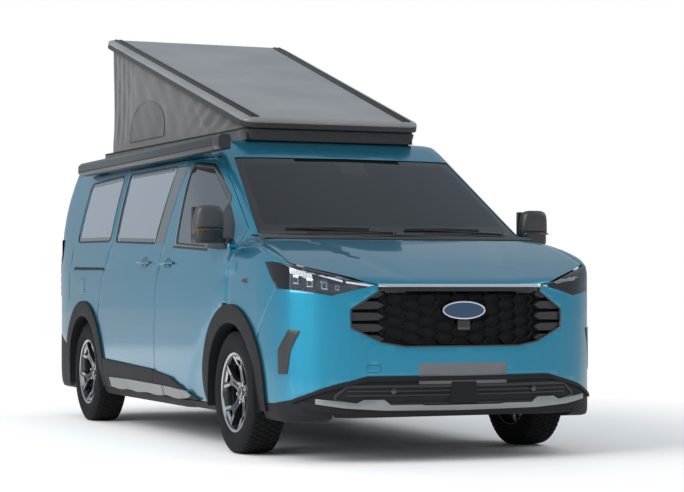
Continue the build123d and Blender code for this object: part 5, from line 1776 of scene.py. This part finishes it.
def makeMarker(side, label):
    # fender vent mark with its small lamp
    vent = [(-1.800, 0.985), (-1.735, 0.985), (-1.690, 0.972), (-1.735, 0.960), (-1.800, 0.960),
            (-1.775, 0.9725)]
    surfacePatch("fenderMark" + label, vent, "side", 0.0010, -0.004, satinBlack, step=0.03, side=side)
    blink = [(-1.725, 0.977), (-1.700, 0.973), (-1.725, 0.968)]
    surfacePatch("fenderLamp" + label, blink, "side", 0.0022, -0.002, amberLens, step=0.03, side=side)


mudFlap = {"y": 2.050, "thick": 0.010, "low": 0.225, "top": 0.420, "inner": 0.775, "outer": 0.965}


def makeFlap(side, label):
    near, far = sorted((side * mudFlap["inner"], side * mudFlap["outer"]))
    low, high = (near, mudFlap["y"], mudFlap["low"]), (far, mudFlap["y"] + mudFlap["thick"], mudFlap["top"])
    boxMesh("mudFlapRear" + label, low, high, rubberSheet, 0.003, 2, body="body")


# the body paint at half brightness: painted shade in the door handles' bowls
handleShade = carPaint("paintRecess", shaded(0.5, finish["paintColour"]), shaded(0.5, finish["paintDeep"]),
                       0.5)
sillSilver = grained("sillSilver", (0.24, 0.245, 0.25), 0.45, metallic=0.6, grain=400, depth=0.0002)
mirrorCap = grained("mirrorCap", (0.030, 0.031, 0.033), 0.42, grain=500, depth=0.0002)
rubberSheet = grained("rubberSheet", (0.012, 0.012, 0.013), 0.7, grain=300, depth=0.0004)
for make in (makeWindowTrim, makeSideTrim, sillPiece, makeMirror, makeMarker, makeFlap):
    bothSides(make)
print("sides trimmed")


# wipers and rear face
def frontPatch(name, loop, level, depth, material, holes=(), step=0.05, edge=0.0):
    return surfacePatch(name, loop, "front", level, level - depth, material, holes, step, 1, edge)


def makeWindscreenTrim():
    cowl = [(-0.815, 1.238), (0.815, 1.238), (0.800, 1.262), (0.0, 1.253), (-0.800, 1.262)]
    frontPatch("screenCowl", cowl, 0.0015, 0.010, satinBlack, step=0.05, edge=0.002)
    for index, (x0, x1) in enumerate(((0.700, 0.080), (-0.020, -0.640))):
        pivot = onSurface([(x0, 1.252)], "front", 0.006)[0]
        mid = onSurface([((x0 + x1) / 2, 1.262)], "front", 0.013)[0]
        tip = onSurface([(x1 + 0.10, 1.270)], "front", 0.014)[0]
        arm = tube("wiperArm", [pivot, mid, tip], 0.0060, satinBlack, 12, flat=0.6)
        line = [(x1 - 0.02 + (x0 - x1) * 0.80 * t, 1.272 + 0.004 * math.sin(math.pi * t))
                for t in np.linspace(0, 1, 13)]
        blade = list(onSurface(line, "front", 0.004))
        knob = [(-0.012, 0.0004), (-0.012, 0.011), (0.006, 0.010), (0.010, 0.0004)]
        cap = lathe("wiperCap", knob, satinBlack, "z", tuple(pivot), 24)
        joined("wiper" + "AB"[index], [arm, tube("wiperBlade", blade, 0.0048, sealRubber, 10, flat=1.5), cap],
               body="body")


def makeTailLamps(side, label):
    # lamp zones from top to bottom, each with its heights and lens
    def strip(inner, low, outerLow, outerHigh, high):
        return [(side * x, z) for x, z in ((inner, low), (outerLow, low), (outerHigh, high), (inner, high))]

    zones = (("Stop", 1.125, 1.286, redLens), ("Tail", 1.035, 1.120, redLens),
             ("Turn", 0.970, 1.030, amberLens), ("Back", 0.920, 0.965, lampClear),
             ("Low", 0.874, 0.915, redDark))
    parts = []
    for name, low, high, material in zones:
        loop = rounded(strip(0.884, low, 0.950, 0.948, high), 0.008, 3)
        parts.append(surfacePatch("lamp" + name, loop, "rear", 0.0045, -0.030, material, step=0.022,
                                  edge=0.003, body=None))
    back = rounded(strip(0.880, 0.870, 0.954, 0.952, 1.290), 0.01, 3)
    parts.append(surfacePatch("lampBase", back, "rear", 0.0012, -0.045, lampDark, step=0.03, edge=0.002,
                              body=None))
    obj = joined("tailLamp" + label, parts)
    for v in obj.data.vertices:
        v.co.y = max(v.co.y, 2.335)
    settle(obj, "body", 0, ["tail_lamps"])


def rearPatch(name, loop, level, depth, material, holes=(), step=0.05, edge=0.0, body="tailgate_body"):
    return surfacePatch(name, loop, "rear", level, level - depth, material, holes, step, 1, edge, body)


def makeRearFace():
    corners = [(-0.770, 1.240), (0.770, 1.240), (0.690, 1.690), (-0.690, 1.690)]
    glass, middle = rounded(corners, 0.02), offsetLoop(rounded(corners, 0.03), -0.045)
    rearPatch("rearGlassBorder", offsetLoop(glass, -0.001), -0.0030, 0.0012, blackBorder, [middle], 0.06)
    rearPatch("rearGlassSeal", offsetLoop(glass, 0.010), 0.0010, 0.005, sealRubber, [glass], 0.06)
    plate = rounded([(-0.265, 0.700), (0.265, 0.700), (0.265, 0.815), (-0.265, 0.815)], 0.008)
    recess = rounded([(-0.330, 0.660), (0.330, 0.660), (0.355, 0.860), (-0.355, 0.860)], 0.03)
    rearPatch("rearPlateWell", recess, -0.0002, 0.012, satinBlack, [offsetLoop(recess, -0.012)], 0.05, 0.0006)
    rearPatch("rearPlateField", offsetLoop(recess, -0.011), -0.0075, 0.004, paintShade, step=0.05)
    rearPatch("rearPlate", plate, -0.0030, 0.005, plateFace, step=0.06, edge=0.0008)
    bar = rounded([(-0.400, 0.868), (0.400, 0.868), (0.400, 0.905), (-0.400, 0.905)], 0.012)
    rearPatch("tailgateBar", bar, 0.0030, 0.010, glossBlack, step=0.05, edge=0.003)
    grip = rounded([(-0.110, 0.862), (0.110, 0.862), (0.110, 0.876), (-0.110, 0.876)], 0.004)
    rearPatch("tailgateGrip", grip, 0.0036, 0.010, sealRubber, step=0.05)
    stop = rounded([(-0.170, 1.742), (0.170, 1.742), (0.170, 1.760), (-0.170, 1.760)], 0.006)
    rearPatch("highStopLamp", stop, 0.0020, 0.010, redLens, step=0.05, edge=0.002)
    spoiler = [(-0.700, 1.772), (0.700, 1.772), (0.695, 1.815), (-0.695, 1.815)]
    rearPatch("spoiler", rounded(spoiler, 0.012), 0.004, 0.012, glossBlack, step=0.05, edge=0.004)
    crease = [(-0.820, 1.100), (0.820, 1.100), (0.820, 1.107), (-0.820, 1.107)]
    rearPatch("rearCrease", crease, 0.0004, 0.004, paintShade, step=0.06)
    pivot = onSurface([(0.0, 1.258)], "rear", 0.006)[0]
    tip = onSurface([(0.330, 1.300)], "rear", 0.006)[0]
    arm = tube("rearWiperArm", [pivot, (pivot + tip) / 2 + np.array([0, 0.004, 0]), tip], 0.0065, satinBlack,
               12, flat=0.6)
    line = [(0.08 + 0.42 * t, 1.290 + 0.016 * t) for t in np.linspace(0, 1, 9)]
    blade = list(onSurface(line, "rear", 0.001))
    knob = [(-0.006, 0.0004), (-0.006, 0.020), (0.008, 0.019), (0.012, 0.012), (0.013, 0.0004)]
    cap = lathe("rearWiperCap", knob, satinBlack, "y", tuple(pivot), 28)
    joined("rearWiper", [arm, tube("rearWiperBlade", blade, 0.0050, sealRubber, 10), cap],
           body="tailgate_body")
    for x in (-0.720, 0.720):
        eye = rounded([(x - 0.075, 0.322), (x + 0.075, 0.322), (x + 0.070, 0.355), (x - 0.070, 0.355)], 0.008)
        name = "rearReflector" + ("A" if x < 0 else "B")
        rearPatch(name, eye, 0.0012, 0.010, redDark, step=0.04, edge=0.0015, body="body")
    for index, x in enumerate((-0.62, -0.21, 0.21, 0.62)):
        eye = ellipse(x, 0.385, 0.013, 0.013, 16)
        rearPatch("rearSensor" + "ABCD"[index], eye, 0.0010, 0.006, satinBlack, step=0.02, edge=0.0008,
                  body="body")


# wheel arches: a thin band inside each opening
def makeArchLining(side, label):
    steps, radius = 41, wheel["archRadius"]
    section = ((0.915, radius), (0.990, radius), (0.990, radius - 0.0025), (0.915, radius - 0.0025))
    for axle, y in wheel["axles"].items():
        verts, faces = [], []
        for i in range(steps):
            a = math.radians(-14 + 208 * i / (steps - 1))
            along, up = math.cos(a), math.sin(a)
            verts += [(side * x, y + r * along, wheel["axleHeight"] + r * up) for x, r in section]
        for i in range(steps - 1):
            for k in range(4):
                m = (k + 1) % 4
                faces.append((i * 4 + k, i * 4 + m, i * 4 + 4 + m, i * 4 + 4 + k))
        faces += [(0, 1, 2, 3), tuple((steps - 1) * 4 + k for k in (3, 2, 1, 0))]
        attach(finishMesh("archLining" + axle.title() + label, meshOf(verts, faces), trim, True, 40), "body")


# cabin, seen through the glass
def makeSeat(x, y, name):
    # each box: name, its left, right, front, rear, low and high limits, material, edge and edge steps
    blocks = (("base", -0.220, 0.220, -0.190, 0.225, 0.484, 0.640, dashPlastic, 0.02, 3),
              ("slide", -0.235, 0.235, -0.230, 0.250, 0.600, 0.636, satinBlack, 0.008, 2),
              ("cushion", -0.190, 0.190, -0.262, 0.200, 0.640, 0.770, seatPanel, 0.035, 4))
    parts = [boxMesh(block, (x + x0, y + y0, z0), (x + x1, y + y1, z1), material, edge, count)
             for block, x0, x1, y0, y1, z0, z1, material, edge, count in blocks]
    for a in (x - 0.225, x + 0.225):
        low, high = (a - 0.045, y - 0.240, 0.638), (a + 0.045, y + 0.220, 0.795)
        parts.append(boxMesh("bolster", low, high, seatCloth, 0.035, 4))
    lean = Matrix.Translation((x, y + 0.185, 0.700)) @ Matrix.Rotation(math.radians(-10.5), 4, "X")
    parts.append(boxMesh("back", (-0.180, -0.030, 0.0), (0.180, 0.090, 0.655), seatPanel, 0.035, 4, lean))
    for a in (-0.215, 0.215):
        low, high = (a - 0.045, -0.055, 0.010), (a + 0.045, 0.090, 0.640)
        parts.append(boxMesh("backBolster", low, high, seatCloth, 0.035, 4, lean))
    parts.append(boxMesh("backShell", (-0.235, 0.060, 0.030), (0.235, 0.098, 0.625), dashPlastic, 0.02, 3,
                         lean))
    parts.append(boxMesh("head", (-0.135, -0.015, 0.690), (0.135, 0.085, 0.865), seatCloth, 0.040, 5, lean))
    for a in (-0.052, 0.052):
        parts.append(tube("post", [lean @ Vector((a, 0.035, 0.640)), lean @ Vector((a, 0.035, 0.705))], 0.006,
                          chrome, 10))
    return joined(name, parts)


def makeCabin():
    seats = joined("frontSeats", [makeSeat(0.430, -0.560, "seatA"), makeSeat(-0.430, -0.560, "seatB")])
    settle(seats, "body", 0, ["front_seats"])
    parts = [boxMesh("benchBase", (-0.640, 1.180, 0.482), (0.420, 1.620, 0.620), laminate, 0.006)]
    for i in range(3):
        a = -0.648 + i * 0.359
        parts.append(boxMesh("benchCushion", (a, 1.080, 0.621), (a + 0.352, 1.640, 0.752), seatPanel, 0.035,
                             4))
        lean = Matrix.Translation((0, 1.580, 0.700)) @ Matrix.Rotation(math.radians(-9.5), 4, "X")
        parts.append(boxMesh("benchBack", (a, -0.020, 0.02), (a + 0.352, 0.085, 0.640), seatPanel, 0.035, 4,
                             lean))
    parts.append(boxMesh("cabinet", (0.470, 0.060, 0.482), (0.690, 2.150, 1.165), laminate, 0.006))
    parts.append(boxMesh("worktop", (0.462, 0.052, 1.165), (0.694, 2.156, 1.190), softGrey, 0.006, 3))
    for i in range(5):
        a = 0.085 + i * 0.412
        parts.append(boxMesh("cabinetDoor", (0.462, a, 0.540), (0.472, a + 0.396, 1.140), laminate, 0.004))
        parts.append(boxMesh("cabinetPull", (0.456, a + 0.150, 1.090), (0.463, a + 0.246, 1.104), chrome,
                             0.002))
    settle(joined("cabinFurniture", parts), "body", 0, ["cabin_furniture"])
    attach(boxMesh("cabinFloor", (-0.700, -1.150, 0.4802), (0.700, 1.170, 0.4835), floorVinyl, 0.001),
            "body")


def makeDash():
    shell = [(-1.330, 0.822), (-1.170, 0.806), (-1.124, 0.900), (-1.120, 1.072), (-1.196, 1.116),
             (-1.330, 1.112)]
    shell = rounded(shell, 0.025, 4)
    parts = [prismMesh("dashShell", shell, "x", -0.800, 0.800, dashPlastic, 0.006)]
    hood = rounded([(-1.250, 1.080), (-1.110, 1.060), (-1.085, 1.140), (-1.120, 1.160), (-1.250, 1.130)],
                   0.02, 4)
    parts.append(prismMesh("clusterHood", hood, "x", 0.265, 0.595, dashPlastic, 0.012, segments=3))
    tip = Matrix.Translation((0, -1.112, 1.118)) @ Matrix.Rotation(math.radians(-8), 4, "X")
    parts.append(boxMesh("screen", (-0.150, -0.012, -0.085), (0.150, 0.006, 0.085), glossBlack, 0.008, 3,
                         tip))
    for x in (-0.720, -0.240, 0.215, 0.720):
        parts.append(boxMesh("vent", (x - 0.060, -1.128, 0.985), (x + 0.060, -1.116, 1.040), satinBlack,
                             0.008, 3))
        slat = boxMesh("slat", (x - 0.052, -1.118, 0.991), (x + 0.052, -1.112, 0.994), softGrey)
        parts.append(copies("slats" + str(int(x * 100)).replace("-", "n"), slat, "row", softGrey, 5,
                            step=(0, 0, 0.0105)))
    parts.append(boxMesh("gloveLid", (-0.680, -1.126, 0.860), (-0.300, -1.116, 0.965), softGrey, 0.010, 3))
    tiltBack = Matrix.Translation((0.430, -0.960, 1.065)) @ Matrix.Rotation(math.radians(-40), 4, "X")
    post = [(-0.300, 0.0004), (-0.300, 0.032), (-0.060, 0.032), (-0.052, 0.018), (-0.030, 0.017),
            (-0.030, 0.0004)]
    parts.append(lathe("column", post, satinBlack, "z", segments=32))
    parts[-1].data.transform(tiltBack)
    settle(joined("dashUnit", parts), "body", 0, ["dashboard"])
    grip = [(0.014 * math.sin(a), 0.186 + 0.014 * math.cos(a)) for a in np.linspace(0, 2 * math.pi, 17)[:-1]]
    ring = lathe("wheelRing", grip, dashPlastic, "z", segments=72)
    hub = boxMesh("wheelHub", (-0.062, -0.048, -0.030), (0.062, 0.044, 0.006), dashPlastic, 0.018, 4)
    spokes = [boxMesh("wheelSpoke", (-0.178, -0.012, -0.012), (0.178, 0.014, 0.002), softGrey, 0.006, 3),
              boxMesh("wheelSpoke", (-0.014, -0.178, -0.012), (0.014, 0.0, 0.002), softGrey, 0.006, 3)]
    turner = joined("steeringWheel", [ring, hub] + spokes)
    turner.data.transform(tiltBack)
    settle(turner, "steering_wheel_body", 0, ["steering_wheel"])


def dressNodes():
    # the plain structure keeps its solids' own shape
    finishes = {"floor_pan": underSteel, "firewall": underSteel, "front_structure": underSteel,
                "front_subframe": underSteel, "front_knuckle_left": castIron, "front_knuckle_right": castIron,
                "rear_axle": castIron, "engine_block": castIron, "wheel_liners": linerPlastic,
                "roof_frame": trim}
    for name, material in finishes.items():
        mesh = nodes[name].data
        mesh.materials.clear()
        mesh.materials.append(material)


paintShade = carPaint("paintShade", shaded(0.8, finish["paintColour"]), shaded(0.8, finish["paintDeep"]), 0.4)
linerPlastic = grained("linerPlastic", (0.010, 0.010, 0.010), 0.8, grain=260, depth=0.0006)
lampDark = grained("lampHousing", (0.05, 0.006, 0.008), 0.2, grain=200, depth=0.0, coat=1.0)
lampClear = prismLens("clearLens", (0.62, 0.63, 0.64))
makeWindscreenTrim()
bothSides(makeTailLamps)
makeRearFace()
bothSides(makeArchLining)
makeCabin()
makeDash()
dressNodes()
print("rear face, arches and cabin made")


# floor, light and camera
def stageFloor():
    # pale floor whose colour runs into the white background away from the object
    mat, tree, shader, at = newMaterial("paleFloor")
    grey = rampOf(tree, noiseOf(tree, at, 0.4, 2), (0.86, 0.86, 0.86), (0.88, 0.88, 0.88))
    put(tree, shader, {"Base Color": grey, "Roughness": 0.6})
    far = tree.nodes.new("ShaderNodeVectorMath")
    far.operation = "LENGTH"
    put(tree, far, {0: at})
    fade = mathOf(tree, "DIVIDE", mathOf(tree, "SUBTRACT", far.outputs["Value"], studio["fadeStart"]),
                  studio["fadeLength"])
    fade = mathOf(tree, "MINIMUM", mathOf(tree, "MAXIMUM", fade, 0.0), 1.0)
    seen = tree.nodes.new("ShaderNodeLightPath").outputs["Is Camera Ray"]
    white = tree.nodes.new("ShaderNodeEmission").outputs[0]
    surface = mixOf(tree, mathOf(tree, "MULTIPLY", fade, seen), shader.outputs[0], white)
    put(tree, tree.nodes["Material Output"], {"Surface": surface})
    half = studio["floorHalf"]
    verts = [(-half, -half, 0), (half, -half, 0), (half, half, 0), (-half, half, 0)]
    meshObject("stageFloor", verts, [(0, 1, 2, 3)], mat, smooth=False)


studio = {
    "skyColour": (0.90, 0.93, 0.96), "skyStrength": 0.80,
    "mirrorColour": (0.62, 0.72, 0.80), "mirrorStrength": 0.74,      # what shiny pieces see around them
    "lights": {"keyLight": ((-8, -3.5, 5.5), 7.0, 900), "fillLight": ((8, -4, 6), 6.0, 220),
               "rearLight": ((-3, 9, 6), 6.0, 380)},                 # place, size and power
    "aim": (0, 0, 1), "floorHalf": 60, "fadeStart": 2.6, "fadeLength": 2.2,
    "lens": 105.9, "cameraPlace": (-4.741, -12.244, 0.927), "cameraAim": (0.3823, 0.9238, 0.0213),
}


def studioLight():
    world = bpy.data.worlds.new("studio")
    bpy.context.scene.world = world
    world.use_nodes = True
    tree = world.node_tree
    back = put(tree, tree.nodes["Background"],
               {"Color": (*studio["skyColour"], 1), "Strength": studio["skyStrength"]})
    white = addNode(tree, "ShaderNodeBackground", {"Color": (1, 1, 1, 1), "Strength": 1.0})
    dim = addNode(tree, "ShaderNodeBackground",
                  {"Color": (*studio["mirrorColour"], 1), "Strength": studio["mirrorStrength"]})
    path = tree.nodes.new("ShaderNodeLightPath")
    around = mixOf(tree, path.outputs["Is Glossy Ray"], back.outputs[0], dim.outputs[0])
    around = mixOf(tree, path.outputs["Is Camera Ray"], around, white.outputs[0])
    put(tree, tree.nodes["World Output"], {"Surface": around})
    for name, (place, size, power) in studio["lights"].items():
        lamp = bpy.data.lights.new(name, "AREA")
        lamp.energy = power
        lamp.size = size
        obj = placed(name, lamp)
        obj.location = place
        obj.visible_glossy = name != "rearLight"
        obj.rotation_euler = (Vector(studio["aim"]) - Vector(place)).to_track_quat("-Z", "Y").to_euler()


def setCamera():
    cam = bpy.data.cameras.new("camera")
    cam.lens = studio["lens"]
    cam.sensor_width = 36
    cam.clip_end = 200
    obj = placed("camera", cam)
    obj.location = studio["cameraPlace"]
    obj.rotation_euler = Vector(studio["cameraAim"]).to_track_quat("-Z", "Y").to_euler()
    bpy.context.scene.camera = obj


bpy.context.scene.view_settings.view_transform = "Standard"
stageFloor()
studioLight()
setCamera()
print("floor, light and camera set")


def keepInBox():
    # nothing rigid stands outside the solids' own box
    low, high = cadBox
    for obj in bpy.data.objects:
        if obj.type == "MESH" and obj.name not in nodes and obj.name != "stageFloor":
            mesh = obj.data
            flat = np.zeros(len(mesh.vertices) * 3)
            mesh.vertices.foreach_get("co", flat)
            points = flat.reshape(-1, 3)
            held = np.clip(points, np.array(low) + 0.0002, np.array(high) - 0.0002)
            held[:, 2] = np.clip(points[:, 2], low[2], high[2] - 0.0002)
            if not np.array_equal(held, points):
                mesh.vertices.foreach_set("co", held.ravel())
                mesh.update()


keepInBox()
